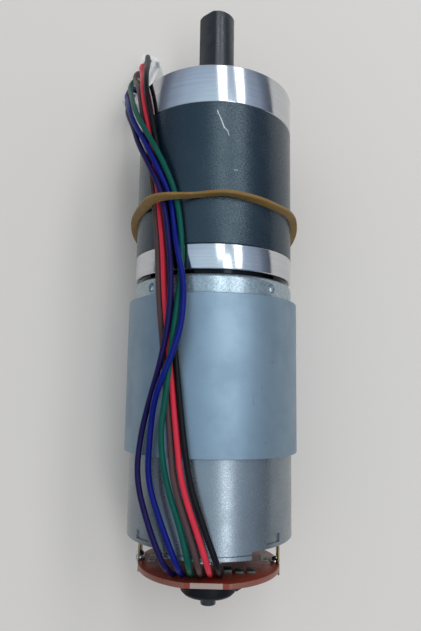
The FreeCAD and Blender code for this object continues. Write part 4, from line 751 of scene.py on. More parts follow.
LEFT_JOINT = ((-TERMINAL_X, -122.9, 0.3), (1.35, 1.75, 1.8))  # place and half sizes
RIGHT_JOINT = ((16.75, -123.1, 0), (1.0, 1.1, 1.7))
WIRE_JOINT = (0.8, 0.9, 0.8)
drops = [drop(*LEFT_JOINT), drop(*RIGHT_JOINT)]
for x in WIRE_ROW_X.values():
    drops.append(drop((x, BOARD_REAR, WIRE_ROW_PLACE[1]), WIRE_JOINT))
solder = join(drops)
solder.name = "solder_drops"
smooth(solder, angle=60)

# %% [markdown]
# On the front of the board sit two pale pads, each with a dark hole, and three chip
# parts: blocks with tinned ends. The ends are a piece of their own, because they are metal.

# %% Pads and chip parts
SEAT = BOARD_FRONT - 0.02  # a little inside the board
PADS = ((14.3, -2.8), (-14.3, -0.2))
PAD_HOLES = ((14.3, -1.2), (-14.3, 1.4))
CHIPS = ((4.8, 9.0, 0.9), (7.6, 9.0, 0.6), (10.4, 8.6, 0.6))  # x, z and height
pads = join([mill((x - 1.0, SEAT, z - 2.9), (x + 1.0, BOARD_FRONT + 0.15, z + 2.9)) for x, z in PADS])
pads.name = "board_pads"
cut_away(pads, [drill(0.5, BOARD_FRONT - RUN_OUT, BOARD_FRONT + RUN_OUT, x, z) for x, z in PAD_HOLES])
bodies, ends = [], []
for x, z, height in CHIPS:
    top = BOARD_FRONT + height
    bodies.append(mill((x - 0.95, SEAT, z - 1.1), (x + 0.95, top - 0.04, z + 1.1)))
    for side in (-1, 1):
        low, high = sorted((z + side * 1.05, z + side * 1.6))
        ends.append(mill((x - 1.0, SEAT, low), (x + 1.0, top, high)))
chip_bodies = join(bodies)
chip_bodies.name = "chip_bodies"
chip_ends = join(ends)
chip_ends.name = "chip_ends"
for piece in (pads, chip_bodies, chip_ends):
    soften(piece, 0.08)
    smooth(piece)
print("chip parts:", len(CHIPS))

# %% [markdown]
# The Hall sensors are the usual flat black packages with three legs. One is made at the
# top and turned copies go to the two places beside the magnet wheel, behind the board.

# %% Hall sensors
HALL_TURNS = (60, 105)
LEG_PLACES = (-1.27, 0, 1.27)
SENSOR_CORNERS = ((-2.0, -128.8, 8.0), (2.0, -125.8, 9.5))
sensor = mill(*SENSOR_CORNERS)
soften(sensor, 0.3, segments=1)
legs = join([drill(0.2, -125.9, BOARD_REAR + 0.1, x, 8.75, sides=12) for x in LEG_PLACES])
hall_bodies = join([turned_copy(sensor, turn) for turn in HALL_TURNS])
hall_bodies.name = "hall_bodies"
hall_legs = join([turned_copy(legs, turn) for turn in HALL_TURNS])
hall_legs.name = "hall_legs"
bpy.data.objects.remove(sensor)
bpy.data.objects.remove(legs)
smooth(hall_bodies)
smooth(hall_legs)
print("hall sensors: 2")

# %% [markdown]
# ## The fasteners in front
#
# Four countersunk screws with a hexagon socket sit just below the cap's face. One is
# turned on the lathe and gets its socket from a six-sided cutter, and then turned copies
# go round the cap. The circlip is a flat spring ring with two eyes for the pliers.

# %% Cap screws
SCREW_END = -16.5
SCREW_CHAMFER = 0.3
SOCKET_RADIUS = 1.375
SOCKET_FLOOR = -1.6
head_start = HEAD_FRONT - (SCREW_HEAD - SCREW_SHANK)
cap_screw = lathe("cap_screw", [
    (0, SCREW_END), (SCREW_SHANK - SCREW_CHAMFER, SCREW_END), (SCREW_SHANK, SCREW_END + SCREW_CHAMFER),
    (SCREW_SHANK, head_start), (SCREW_HEAD, HEAD_FRONT), (0, HEAD_FRONT)], steps=48, closed=False)
x, z = round_the_axis(SCREW_CIRCLE, DIAGONALS[0])
cap_screw.data.transform(Matrix.Translation(Vector((x, 0, z)) * MM))
cut_away(cap_screw, [drill(SOCKET_RADIUS, SOCKET_FLOOR, RUN_OUT, x, z, sides=6)])
soften(cap_screw, 0.06)
cap_screws = join([turned_copy(cap_screw, turn) for turn in QUARTERS])
cap_screws.name = "cap_screws_turned"
bpy.data.objects.remove(cap_screw)
smooth(cap_screws)
print("cap screws: 4")

# %% Circlip
CIRCLIP_BORE = 4.66
CIRCLIP_RADIUS = 6.55
CIRCLIP_OPENING = 30
EYE_CIRCLE = 5.7
EYE_TURN = 18.5
EYE_RADIUS = 0.88
PLIERS_HOLE = 0.4
eyes = []
for side in (-1, 1):
    x, z = round_the_axis(EYE_CIRCLE, side * EYE_TURN)
    eye = drill(EYE_RADIUS, CIRCLIP_REAR, CIRCLIP_FRONT, x, z, sides=24)
    cut_away(eye, [drill(PLIERS_HOLE, 0.0, 2.5, x, z, sides=16)])
    eyes.append(eye)
ring = wedge("circlip_blanked", [
    (CIRCLIP_BORE, CIRCLIP_REAR), (CIRCLIP_RADIUS, CIRCLIP_REAR), (CIRCLIP_RADIUS, CIRCLIP_FRONT),
    (CIRCLIP_BORE, CIRCLIP_FRONT)], CIRCLIP_OPENING / 2, 360 - CIRCLIP_OPENING, steps=96)
circlip = join([ring] + eyes)
circlip.name = "circlip_blanked"
soften(circlip, 0.05)
smooth(circlip)
print("circlip:", len(circlip.data.polygons), "faces")

# %% [markdown]
# ## The plug
#
# A crimp housing moulded in milky nylon, for six contacts in a row. It is shaped in its own
# frame, upright, and then set down on the table at its corner and turned. The cavities
# open at the top, where the wires go in, with a small lead-in round each. On one side are
# the windows for the contacts' latches, and on the other a waist between two ribs keys
# the plug in its header.

# %% The plug housing
PLUG_LENGTH = 17.3
PLUG_HALF = 2.875
PLUG_WAIST = 1.975
PLUG_WAYS = [PLUG_FIRST_WAY + way * PLUG_PITCH for way in range(len(WIRE_ROW_X))]
ABOVE_THE_PLUG = 11
WAIST_FLOOR = 6.8
WAIST_CUTS = ((-1, 0.6), (1.2, 16.1), (16.7, 19))
CAVITY_HALF = 0.95
CAVITY_FLOOR = 1.6
VENT_HALF = 0.5
LATCH_HALF = 0.65
LEAD_IN_HALF = (0.93, 1.2)
LEAD_IN_DEPTH = 0.6
plug = mill((0, -PLUG_HALF, 0), (PLUG_LENGTH, PLUG_HALF, PLUG_HEIGHT))
plug.name = "plug_moulded"
soften(plug, 0.3, segments=3)
waist = [mill((low, PLUG_WAIST, WAIST_FLOOR), (high, 4, ABOVE_THE_PLUG)) for low, high in WAIST_CUTS]
cut_away(plug, waist)
shift = PLUG_WAY_SHIFT
narrow, wide = [half * math.sqrt(2) * MM for half in LEAD_IN_HALF]
cavities, openings, lead_ins = [], [], []
for x in PLUG_WAYS:
    low, high = shift - CAVITY_HALF, shift + CAVITY_HALF
    cavities.append(mill((x - CAVITY_HALF, low, CAVITY_FLOOR), (x + CAVITY_HALF, high, ABOVE_THE_PLUG)))
    openings.append(mill((x - VENT_HALF, shift - VENT_HALF, -1), (x + VENT_HALF, shift + VENT_HALF, 2)))
    openings.append(mill((x - LATCH_HALF, -4, 4.2), (x + LATCH_HALF, shift, 6.6)))
    deselect()
    bpy.ops.mesh.primitive_cone_add(
        vertices=4, radius1=narrow, radius2=wide, depth=LEAD_IN_DEPTH * MM,
        location=Vector((x, shift, 9.75)) * MM, rotation=(0, 0, math.radians(45)))
    bpy.ops.object.transform_apply()
    lead_ins.append(bpy.context.object)
for cutters in (cavities, openings, lead_ins):
    cut_away(plug, cutters)
soften(plug, 0.06)
set_down = Matrix.Translation(Vector((*PLUG_CORNER, TABLE_HEIGHT)) * MM)
plug.data.transform(set_down @ Matrix.Rotation(PLUG_TURN, 4, "Z"))
smooth(plug)
print("plug:", len(plug.data.polygons), "faces")

# %% [markdown]
# ## The rubber band
#
# One tan band holds the lead to the gear case. It lies round the case like a belt and
# rises over the bunch of wires, so its line is the outline round two circles: the case
# and the bunch. The rows below say where it lies along the shaft at some turns, how wide
# it is there and how far it rolls over: it is narrow before the middle, and rolls over
# just behind that.
#
# A closed curve follows that line, a small rounded rectangle is its section, the curve's
# radius makes the width and its tilt makes the roll. The section stands on edge: its long
# side points away from the shaft, and its inner part is sunk in the case and the wires.

# %% The rubber band
BAND_THICKNESS = 0.85  # along the shaft
BAND_WIDTH = 2.4  # away from the shaft
BAND_BORE = 21.15
BUNCH_TURN = -31.5
BUNCH_RADIUS = 6.0
BUNCH_PLACE = 18.6
BAND_POINTS = 360
BAND_ROWS = [  # turn, along the shaft, width, roll
    (-180, -42.0, 2.4, 0), (-120, -40.4, 2.4, 0), (-96, -38.2, 2.4, 0), (-78, -36.1, 2.4, 0),
    (-62, -35.0, 2.5, 0), (-34, -34.95, 2.6, 0), (-12, -34.4, 1.9, 4), (8, -33.75, 2.7, 22),
    (26, -34.3, 2.6, 12), (46, -34.9, 2.4, 0), (74, -35.3, 2.4, 0), (92, -37.5, 2.4, 0),
    (120, -40.4, 2.4, 0), (180, -42.0, 2.4, 0)]


def band_at(turn, column):
    """A smooth curve through one column of the rows."""
    last = len(BAND_ROWS) - 1
    index = max(row for row in range(last) if BAND_ROWS[row][0] <= turn)
    ends = [BAND_ROWS[min(last, max(0, index + step))] for step in (-1, 0, 1, 2)]
    turns, values = [row[0] for row in ends], [row[column] for row in ends]
    span = turns[2] - turns[1]
    share = (turn - turns[1]) / span
    slopes = [(values[step + 2] - values[step]) / (turns[step + 2] - turns[step]) * span
              for step in (0, 1)]
    rise = 3 * share ** 2 - 2 * share ** 3
    leave = share ** 3 - 2 * share ** 2 + share
    arrive = share ** 3 - share ** 2
    return values[1] + (values[2] - values[1]) * rise + slopes[0] * leave + slopes[1] * arrive


def belt_height(away, half):
    """How far the belt's middle is from the axis, away degrees from the bunch."""
    case, bunch = BAND_BORE + half, BUNCH_RADIUS + half
    lean = math.acos((case - bunch) / BUNCH_PLACE)
    angle = abs(math.radians(away))
    tangent_end = math.atan2(bunch * math.sin(lean), BUNCH_PLACE + bunch * math.cos(lean))
    if angle >= lean:
        return case
    if angle >= tangent_end:
        return case / math.cos(lean - angle)
    across = BUNCH_PLACE * math.sin(angle)
    return BUNCH_PLACE * math.cos(angle) + math.sqrt(bunch ** 2 - across ** 2)


def rounded_rectangle(name, width, height, corner):
    data = bpy.data.curves.new(name, "CURVE")
    places = []
    for index, (side_x, side_y) in enumerate(((1, 1), (-1, 1), (-1, -1), (1, -1))):
        for step in range(4):
            angle = math.radians(90 * index + 30 * step)
            places.append((side_x * (width / 2 - corner) + corner * math.cos(angle),
                           side_y * (height / 2 - corner) + corner * math.sin(angle)))
    spline = data.splines.new("POLY")
    spline.points.add(len(places) - 1)
    for point, (x, y) in zip(spline.points, places):
        point.co = (x * MM, y * MM, 0, 1)
    spline.use_cyclic_u = True
    section = bpy.data.objects.new(name, data)
    bpy.context.scene.collection.objects.link(section)
    return section


def make_band(section):
    data = bpy.data.curves.new("rubber_band", "CURVE")
    data.dimensions = "3D"
    data.twist_mode = "MINIMUM"
    data.bevel_mode = "OBJECT"
    data.bevel_object = section
    line = data.splines.new("POLY")
    line.points.add(BAND_POINTS - 1)
    for index, point in enumerate(line.points):
        turn = -180 + 360 * (index + 0.5) / BAND_POINTS
        width, roll = band_at(turn, 2), math.radians(band_at(turn, 3))
        swell = width / BAND_WIDTH
        half = swell * (BAND_THICKNESS * math.cos(roll) + BAND_WIDTH * abs(math.sin(roll))) / 2 + 0.02
        x, z = round_the_axis(belt_height(turn - BUNCH_TURN, half), turn)
        point.co = (x * MM, band_at(turn, 1) * MM, z * MM, 1)
        point.radius = swell
        point.tilt = roll
    line.use_cyclic_u = True
    return bpy.data.objects.new("rubber_band_cut", data)


band_section = rounded_rectangle("band_section", BAND_THICKNESS, BAND_WIDTH, 0.28)
rubber_band = make_band(band_section)
bpy.context.scene.collection.objects.link(rubber_band)
pick(rubber_band)
bpy.ops.object.convert(target="MESH")
rubber_band = bpy.context.object
bpy.data.objects.remove(band_section)
edit_mode()
close_up()
object_mode()
smooth(rubber_band, angle=50)
print("rubber band:", len(rubber_band.data.polygons), "faces")

# %% [markdown]
# ## The floor and the light
#
# The motor lies on its flux ring, so the floor touches the ring's lowest line.
#
# A turned or polished cylinder mirrors its room as bands along its length, and two long
# tube lamps on the ceiling gave the photograph's two white bands. So long, narrow soft
# boxes hang along the shaft's direction. One tube is split into a front and a rear box,
# because its band doesn't lie in one line over the gearbox and the motor. The angle of
# each box was worked out from the place of its band: light comes back from a surface at
# twice the surface's own tilt.
#
# The world fills in the rest. What metal mirrors of it is pale overhead and dims towards
# the horizon, as a real room does, and what the camera sees of it is a plain pale wall.

# %% The floor
def shader_nodes(owner):
    owner.use_nodes = True
    return owner.node_tree.nodes, owner.node_tree.links


deselect()
bpy.ops.mesh.primitive_plane_add(size=3.0, location=(0, 0, TABLE_HEIGHT * MM))
bpy.ops.object.transform_apply()
floor = bpy.context.object
floor.name = "floor"
floor_paint = bpy.data.materials.new("floor_paint")
nodes, links = shader_nodes(floor_paint)
nodes["Principled BSDF"].inputs["Base Color"].default_value = (0.72, 0.70, 0.67, 1)
nodes["Principled BSDF"].inputs["Roughness"].default_value = 0.85
nodes["Principled BSDF"].inputs["Specular IOR Level"].default_value = 0.2
floor.data.materials.append(floor_paint)
floor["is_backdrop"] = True

# %% The room
world = bpy.data.worlds.new("studio")
bpy.context.scene.world = world
nodes, links = shader_nodes(world)
nodes.clear()
direction = nodes.new("ShaderNodeTexCoord")
split = nodes.new("ShaderNodeSeparateXYZ")
links.new(direction.outputs["Generated"], split.inputs[0])
mirrored_room = nodes.new("ShaderNodeValToRGB")
room_stops = [
    (0.0, (0.08, 0.09, 0.12)), (0.14, (0.15, 0.18, 0.24)), (0.42, (0.34, 0.41, 0.52)),
    (0.72, (0.48, 0.60, 0.76)), (1.0, (0.66, 0.84, 0.98))]
ramp = mirrored_room.color_ramp
ramp.interpolation = "EASE"
while len(ramp.elements) < len(room_stops):
    ramp.elements.new(0.5)
for element, (place, colour) in zip(ramp.elements, room_stops):
    element.position = place
    element.color = (*colour, 1)
links.new(split.outputs["Z"], mirrored_room.inputs["Fac"])


def world_light(colour, strength):
    background = nodes.new("ShaderNodeBackground")
    background.inputs["Strength"].default_value = strength
    if colour is not None:
        background.inputs["Color"].default_value = (*colour, 1)
    return background


fill = world_light((0.93, 0.96, 1.0), 0.56)
wall = world_light((0.86, 0.85, 0.83), 1.0)
mirror = world_light(None, 1.0)
links.new(mirrored_room.outputs["Color"], mirror.inputs["Color"])
ray = nodes.new("ShaderNodeLightPath")
shiny = nodes.new("ShaderNodeMath")
shiny.operation = "MAXIMUM"
links.new(ray.outputs["Is Glossy Ray"], shiny.inputs[0])
links.new(ray.outputs["Is Transmission Ray"], shiny.inputs[1])
lit = nodes.new("ShaderNodeMixShader")
links.new(shiny.outputs[0], lit.inputs["Fac"])
links.new(fill.outputs[0], lit.inputs[1])
links.new(mirror.outputs[0], lit.inputs[2])
seen = nodes.new("ShaderNodeMixShader")
links.new(ray.outputs["Is Camera Ray"], seen.inputs["Fac"])
links.new(lit.outputs[0], seen.inputs[1])
links.new(wall.outputs[0], seen.inputs[2])
room = nodes.new("ShaderNodeOutputWorld")
links.new(seen.outputs[0], room.inputs["Surface"])

# %% The soft boxes
BOX_CENTRE = Vector((0, -60, 0)) * MM


def soft_box(name, tilt, lean, yaw, width, length, power, distance):
    """A lamp above the motor. tilt leans it from the top towards +X, lean towards +Y.

    yaw turns it where it hangs.
    """
    data = bpy.data.lights.new(name, "AREA")
    data.shape = "RECTANGLE"
    data.size = width
    data.size_y = length
    data.energy = power
    lamp = bpy.data.objects.new(name, data)
    turn = Matrix.Rotation(math.radians(tilt), 4, "Y") @ Matrix.Rotation(math.radians(-lean), 4, "X")
    place = Matrix.Translation(BOX_CENTRE + turn @ Vector((0, 0, distance)))
    lamp.matrix_world = place @ turn @ Matrix.Rotation(math.radians(yaw), 4, "Z")
    bpy.context.scene.collection.objects.link(lamp)
    return lamp


soft_box("tube_over_front", 10.7, 34.5, 3, 0.17, 0.8, 1.7, distance=1.08)
soft_box("tube_over_rear", 23.0, -10, 8, 0.17, 0.8, 1.7, distance=0.98)
soft_box("tube_right", 36.8, 28, 0, 0.16, 0.9, 1.8, distance=1.0)

# %% [markdown]
# ## Finishes
#
# Every finish is mixed from a few things that real surfaces have: a base colour that
# wanders a little, a roughness that wanders too, and a bump of the tool's marks or the
# grain. The patterns read Object coordinates. All the pieces keep their origin at the
# gearbox's front face and lie along Y, so one recipe fits them all: stretched along
# Y it makes lines along the shaft, and squeezed along Y it makes rings from the lathe.
#
# The class below is a small recipe book page: each line adds one ingredient. It could
# be done with the node editor by hand, and reads in the same order as it would there.

# %% A recipe for a finish
class Finish:
    def __init__(self, name, colour, roughness, metallic=0.0, specular=0.5):
        self.material = bpy.data.materials.new(name)
        self.nodes, self.links = shader_nodes(self.material)
        self.shader = self.nodes["Principled BSDF"]
        self.set("Base Color", (*colour, 1))
        self.set("Roughness", roughness)
        self.set("Metallic", metallic)
        self.set("Specular IOR Level", specular)
        self.place = self.nodes.new("ShaderNodeTexCoord").outputs["Object"]
        self.base = (*colour, 1)
        self.normal = None

    def set(self, socket, value):
        self.shader.inputs[socket].default_value = value

    def stretched(self, scale):
        """Object coordinates in millimetres, times a scale along each axis."""
        mapping = self.nodes.new("ShaderNodeMapping")
        mapping.inputs["Scale"].default_value = [factor / MM for factor in scale]
        self.links.new(self.place, mapping.inputs["Vector"])
        return mapping.outputs[0]

    def noise(self, size, detail=3.0, stretch=(1, 1, 1), roughness=0.55):
        """Clouds of about the given size in millimetres. A stretch above 1 makes them long."""
        texture = self.nodes.new("ShaderNodeTexNoise")
        texture.inputs["Scale"].default_value = 1.0
        texture.inputs["Detail"].default_value = detail
        texture.inputs["Roughness"].default_value = roughness
        scale = [1 / (size * factor) for factor in stretch]
        self.links.new(self.stretched(scale), texture.inputs["Vector"])
        return texture.outputs["Fac"]

    def shaped(self, value, low, high, to_low=0.0, to_high=1.0):
        """The part of a pattern between low and high, spread over a new range."""
        node = self.nodes.new("ShaderNodeMapRange")
        node.interpolation_type = "SMOOTHSTEP"
        limits = {"From Min": low, "From Max": high, "To Min": to_low, "To Max": to_high}
        for socket, number in limits.items():
            node.inputs[socket].default_value = number
        self.links.new(value, node.inputs["Value"])
        return node.outputs["Result"]

    def math(self, operation, first, second=0.0):
        node = self.nodes.new("ShaderNodeMath")
        node.operation = operation
        for socket, value in zip(node.inputs, (first, second)):
            if isinstance(value, (int, float)):
                socket.default_value = value
            else:
                self.links.new(value, socket)
        return node.outputs[0]

    def times(self, first, second):
        return self.math("MULTIPLY", first, second)

    def tint(self, mask, colour):
        """Lays another colour over the base where the mask is 1."""
        node = self.nodes.new("ShaderNodeMix")
        node.data_type = "RGBA"
        self.links.new(mask, node.inputs["Factor"])
        if isinstance(self.base, tuple):
            node.inputs[6].default_value = self.base
        else:
            self.links.new(self.base, node.inputs[6])
        node.inputs[7].default_value = (*colour, 1)
        self.base = node.outputs[2]
        self.links.new(self.base, self.shader.inputs["Base Color"])
        return self

    def rough(self, value):
        self.links.new(value, self.shader.inputs["Roughness"])
        return self

    def bump(self, height, depth, strength):
        """depth is in millimetres."""
        node = self.nodes.new("ShaderNodeBump")
        node.inputs["Strength"].default_value = strength
        node.inputs["Distance"].default_value = depth * MM
        self.links.new(height, node.inputs["Height"])
        if self.normal is not None:
            self.links.new(self.normal, node.inputs["Normal"])
        self.normal = node.outputs["Normal"]
        self.links.new(self.normal, self.shader.inputs["Normal"])
        return self

    def split_place(self):
        node = self.nodes.new("ShaderNodeSeparateXYZ")
        self.links.new(self.stretched((1, 1, 1)), node.inputs[0])
        return node.outputs

    def from_axis(self):
        """The distance from the shaft's axis, in millimetres."""
        place = self.split_place()
        x, z = place["X"], place["Z"]
        return self.math("SQRT", self.math("ADD", self.times(x, x), self.times(z, z)))


print("finishes are ready")

# %% [markdown]
# ### Turned aluminium
#
# The cap and the adapter plate come bright off the lathe. Their fine rings run round the
# axis, so a highlight spreads along the shaft but stays crisp round it: that is what an
# anisotropic shader with a tangent round Y does. The rings are also a fine bump.

# %% Turned aluminium
def turned_aluminium(name="turned_aluminium", painted_shade_step=False):
    finish = Finish(name, (0.62, 0.63, 0.65), 0.17, metallic=1.0)
    rings = finish.noise(0.35, detail=4, stretch=(60, 1, 60))
    clouds = finish.noise(6.0, detail=3)
    finish.tint(finish.shaped(rings, 0.35, 0.75), (0.54, 0.56, 0.59))
    finish.tint(finish.shaped(clouds, 0.55, 0.85, 0.0, 0.5), (0.57, 0.57, 0.58))
    finish.rough(finish.shaped(rings, 0.3, 0.8, 0.13, 0.22))
    finish.bump(rings, 0.003, 0.4)
    finish.set("Anisotropic", 0.8)
    finish.set("Anisotropic Rotation", 0.25)
    tangent = finish.nodes.new("ShaderNodeTangent")
    tangent.direction_type = "RADIAL"
    tangent.axis = "Y"
    finish.links.new(tangent.outputs[0], finish.shader.inputs["Tangent"])
    if painted_shade_step:
        # Painted shade: the step behind the plate, in the gap to the can, is tinted almost black.
        behind = finish.math("LESS_THAN", finish.split_place()["Y"], ADAPTER_REAR + 0.15)
        inside = finish.math("LESS_THAN", finish.from_axis(), COLLAR_RADIUS + 0.5)
        finish.tint(finish.times(behind, inside), (0.012, 0.014, 0.016))
    return finish.material


# %% [markdown]
# ### Oxidised steel, zinc and black steel
#
# The gear case has a satin blue-black oxide with a fine grain that sparkles in the
# highlight, with pale dots painted in as glints, a crooked bright scratch near its front,
# and a few scuffs. The can is zinc plated, a little uneven, with a highlight painted in
# spots on its front shoulder, and the flux ring is paler and finer. The shaft is black oxide.

# %% Masks for scratches
def scratch_mask(finish, start, end, width, wander=0.15):
    """A thin line on the top of the drum between two (x, y) points in millimetres."""
    start, end = Vector(start), Vector(end)
    way = end - start
    right, ahead = way.x / way.length, way.y / way.length
    x, y, z = finish.split_place()
    waves = finish.noise(1.6, detail=2)
    aside = finish.times(finish.math("SUBTRACT", waves, 0.5), 2 * wander)
    dx = finish.math("SUBTRACT", x, start.x)
    dy = finish.math("SUBTRACT", y, start.y)
    along = finish.math("ADD", finish.times(dx, right), finish.times(dy, ahead))
    across = finish.math("SUBTRACT", finish.times(dy, right), finish.times(dx, ahead))
    across = finish.math("ABSOLUTE", finish.math("ADD", across, aside))
    near = finish.shaped(across, width * 0.35, width * 0.65, 1.0, 0.0)
    begun = finish.shaped(along, -0.15, 0.1)
    ended = finish.shaped(along, way.length - 0.1, way.length + 0.2, 1.0, 0.0)
    top = finish.math("GREATER_THAN", z, 0.0)
    return finish.times(finish.times(near, top), finish.times(begun, ended))


def add_scratches(finish, scratches, colour):
    for start, end, width in scratches:
        finish.tint(scratch_mask(finish, start, end, width), colour)


# %% The gear case's oxide
CASE_SCRATCHES = (  # from, to and width, in millimetres
    ((0.85, -12.3), (1.83, -14.4), 0.22), ((1.83, -14.3), (2.65, -16.8), 0.27),
    ((2.6, -16.6), (3.5, -17.5), 0.20), ((3.45, -17.4), (3.84, -18.7), 0.15),
    ((5.2, -27.3), (5.6, -27.4), 0.14), ((5.8, -27.2), (6.0, -27.5), 0.12))


def dark_oxide():
    finish = Finish("dark_oxide", (0.003, 0.010, 0.020), 0.27, specular=0.75)
    grain = finish.noise(0.42, detail=3, roughness=0.75)
    clouds = finish.noise(7.0, detail=4)
    finish.tint(finish.shaped(clouds, 0.35, 0.75, 0.0, 0.7), (0.007, 0.017, 0.028))
    finish.tint(finish.shaped(grain, 0.62, 0.80, 0.0, 0.5), (0.030, 0.050, 0.066))
    fine = finish.shaped(grain, 0.3, 0.75, 0.22, 0.34)
    wide = finish.shaped(clouds, 0.3, 0.7, -0.02, 0.03)
    finish.rough(finish.math("ADD", fine, wide))
    finish.bump(grain, 0.05, 0.9)
    finish.set("Specular Tint", (0.70, 0.90, 1.0, 1))
    # Painted glints: pale dots in clusters stand in for the grain's sparkle in the highlight.
    painted_glint_specks = finish.shaped(finish.noise(0.8, detail=4, roughness=0.75), 0.70, 0.74)
    painted_glint_patches = finish.shaped(finish.noise(9.0), 0.50, 0.62)
    finish.tint(finish.times(painted_glint_specks, painted_glint_patches), (0.50, 0.53, 0.56))
    add_scratches(finish, CASE_SCRATCHES, (0.52, 0.56, 0.59))
    return finish.material


# %% Zinc on the can and on the flux ring
RING_SCRATCHES = (
    ((12.25, -79.0), (12.2, -80.3), 0.20), ((10.1, -81.3), (10.2, -83.6), 0.18),
    ((13.2, -92.0), (13.3, -92.5), 0.3), ((14.7, -73.4), (14.8, -73.8), 0.3))


def zinc(name, colour, darker, lighter, grain_size, roughness):
    finish = Finish(name, colour, roughness, metallic=0.8)
    grain = finish.noise(grain_size, detail=3, roughness=0.65)
    clouds = finish.noise(8.0, detail=4)
    streaks = finish.noise(0.6, detail=4, stretch=(30, 1, 30))
    finish.tint(finish.shaped(clouds, 0.35, 0.75, 0.0, 0.8), darker)
    finish.tint(finish.shaped(grain, 0.55, 0.80, 0.0, 0.5), lighter)
    finish.tint(finish.shaped(streaks, 0.60, 0.80, 0.0, 0.35), darker)
    fine = finish.shaped(grain, 0.3, 0.75, roughness - 0.06, roughness + 0.08)
    wide = finish.shaped(clouds, 0.3, 0.7, -0.03, 0.03)
    finish.rough(finish.math("ADD", fine, wide))
    finish.bump(grain, 0.020, 0.6)
    finish.bump(streaks, 0.004, 0.4)
    return finish


def can_zinc():
    finish = zinc(
        "can_zinc", (0.235, 0.270, 0.300), (0.19, 0.22, 0.245), (0.36, 0.40, 0.43), 0.30, 0.30)
    # Painted highlight: the can's front shoulder, between the adapter and the flux ring, is tinted paler
    # in spots.
    painted_highlight_zone = finish.shaped(finish.split_place()["Y"], RING_FRONT - 0.2, RING_FRONT + 0.8)
    painted_highlight_speckle = finish.shaped(finish.noise(0.7, detail=4, roughness=0.7), 0.3, 0.7, 0.35, 1.0)
    finish.tint(finish.times(painted_highlight_zone, painted_highlight_speckle), (0.40, 0.50, 0.54))
    return finish.material


def ring_zinc():
    finish = zinc("ring_zinc", (0.25, 0.34, 0.41), (0.21, 0.29, 0.36), (0.30, 0.40, 0.47), 0.22, 0.50)
    add_scratches(finish, RING_SCRATCHES, (0.19, 0.25, 0.31))
    return finish.material


# %% Black oxide, machined steel and bearing steel
def black_oxide():
    finish = Finish("black_oxide", (0.009, 0.014, 0.019), 0.33, specular=0.6)
    rings = finish.noise(0.25, detail=4, stretch=(40, 1, 40))
    clouds = finish.noise(3.0, detail=4)
    wear = finish.noise(1.2, detail=5, stretch=(1, 6, 1))
    finish.tint(finish.shaped(clouds, 0.4, 0.8, 0.0, 0.6), (0.016, 0.022, 0.029))
    finish.tint(finish.shaped(wear, 0.66, 0.74, 0.0, 0.5), (0.16, 0.17, 0.18))
    finish.rough(finish.shaped(clouds, 0.3, 0.8, 0.26, 0.44))
    finish.bump(rings, 0.004, 0.5)
    return finish.material


def machined_steel():
    finish = Finish("machined_steel", (0.46, 0.47, 0.49), 0.30, metallic=1.0)
    tool_marks = finish.noise(0.4, detail=4, stretch=(1, 8, 1))
    oil = finish.noise(3.0, detail=3)
    finish.tint(finish.shaped(oil, 0.5, 0.8, 0.0, 0.6), (0.34, 0.33, 0.31))
    finish.rough(finish.shaped(tool_marks, 0.3, 0.8, 0.22, 0.42))
    finish.bump(tool_marks, 0.004, 0.5)
    return finish.material


def bearing_steel():
    finish = Finish("bearing_steel", (0.42, 0.43, 0.45), 0.22, metallic=1.0)
    rings = finish.noise(0.3, detail=3, stretch=(30, 1, 30))
    clouds = finish.noise(2.5, detail=3)
    finish.tint(finish.shaped(clouds, 0.4, 0.8, 0.0, 0.5), (0.35, 0.36, 0.38))
    finish.rough(finish.shaped(rings, 0.3, 0.8, 0.17, 0.30))
    finish.bump(rings, 0.002, 0.4)
    return finish.material


# %% [markdown]
# ### The motor's inside
#
# Nobody sees these with the motor closed, but each has the finish of the real part:
# stacked laminations, enamelled windings and the bare copper of the commutator, which
# the brushes rub in rings.

# %% Laminations and copper
def laminations():
    finish = Finish("laminations", (0.20, 0.21, 0.23), 0.45, metallic=0.8)
    sheets = finish.noise(0.5, detail=1, stretch=(200, 1, 200))
    finish.tint(finish.shaped(sheets, 0.45, 0.55), (0.30, 0.31, 0.33))
    finish.rough(finish.shaped(sheets, 0.3, 0.7, 0.38, 0.55))
    finish.bump(sheets, 0.05, 0.7)
    return finish.material


def enamelled_copper():
    finish = Finish("enamelled_copper", (0.60, 0.22, 0.10), 0.25, metallic=0.9)
    strands = finish.noise(0.45, detail=1, stretch=(1, 40, 1))
    finish.tint(finish.shaped(strands, 0.4, 0.6, 0.0, 0.6), (0.35, 0.10, 0.045))
    finish.rough(finish.shaped(strands, 0.3, 0.7, 0.18, 0.34))
    finish.bump(strands, 0.08, 0.8)
    return finish.material


def bare_copper():
    finish = Finish("bare_copper", (0.72, 0.36, 0.22), 0.28, metallic=1.0)
    rub = finish.noise(0.3, detail=4, stretch=(30, 1, 30))
    finish.tint(finish.shaped(rub, 0.5, 0.8, 0.0, 0.7), (0.34, 0.17, 0.11))
    finish.rough(finish.shaped(rub, 0.3, 0.8, 0.20, 0.40))
    finish.bump(rub, 0.005, 0.5)
    return finish.material


# %% [markdown]
# ### Brass, solder and tin
#
# The terminals are rolled brass that has tarnished in clouds. The solder is shiny and a
# little lumpy, as it froze. The chip parts' ends are tinned too, but dull and dark.

# %% Brass and tin
def brass(name="stamped_brass"):
    finish = Finish(name, (0.24, 0.18, 0.085), 0.38, metallic=1.0)
    rolled = finish.noise(0.5, detail=4, stretch=(1, 10, 1))
    tarnish = finish.noise(2.0, detail=4)
    finish.tint(finish.shaped(tarnish, 0.45, 0.8, 0.0, 0.7), (0.15, 0.115, 0.06))
    finish.rough(finish.shaped(rolled, 0.3, 0.8, 0.22, 0.42))
    finish.bump(rolled, 0.004, 0.5)
    return finish.material


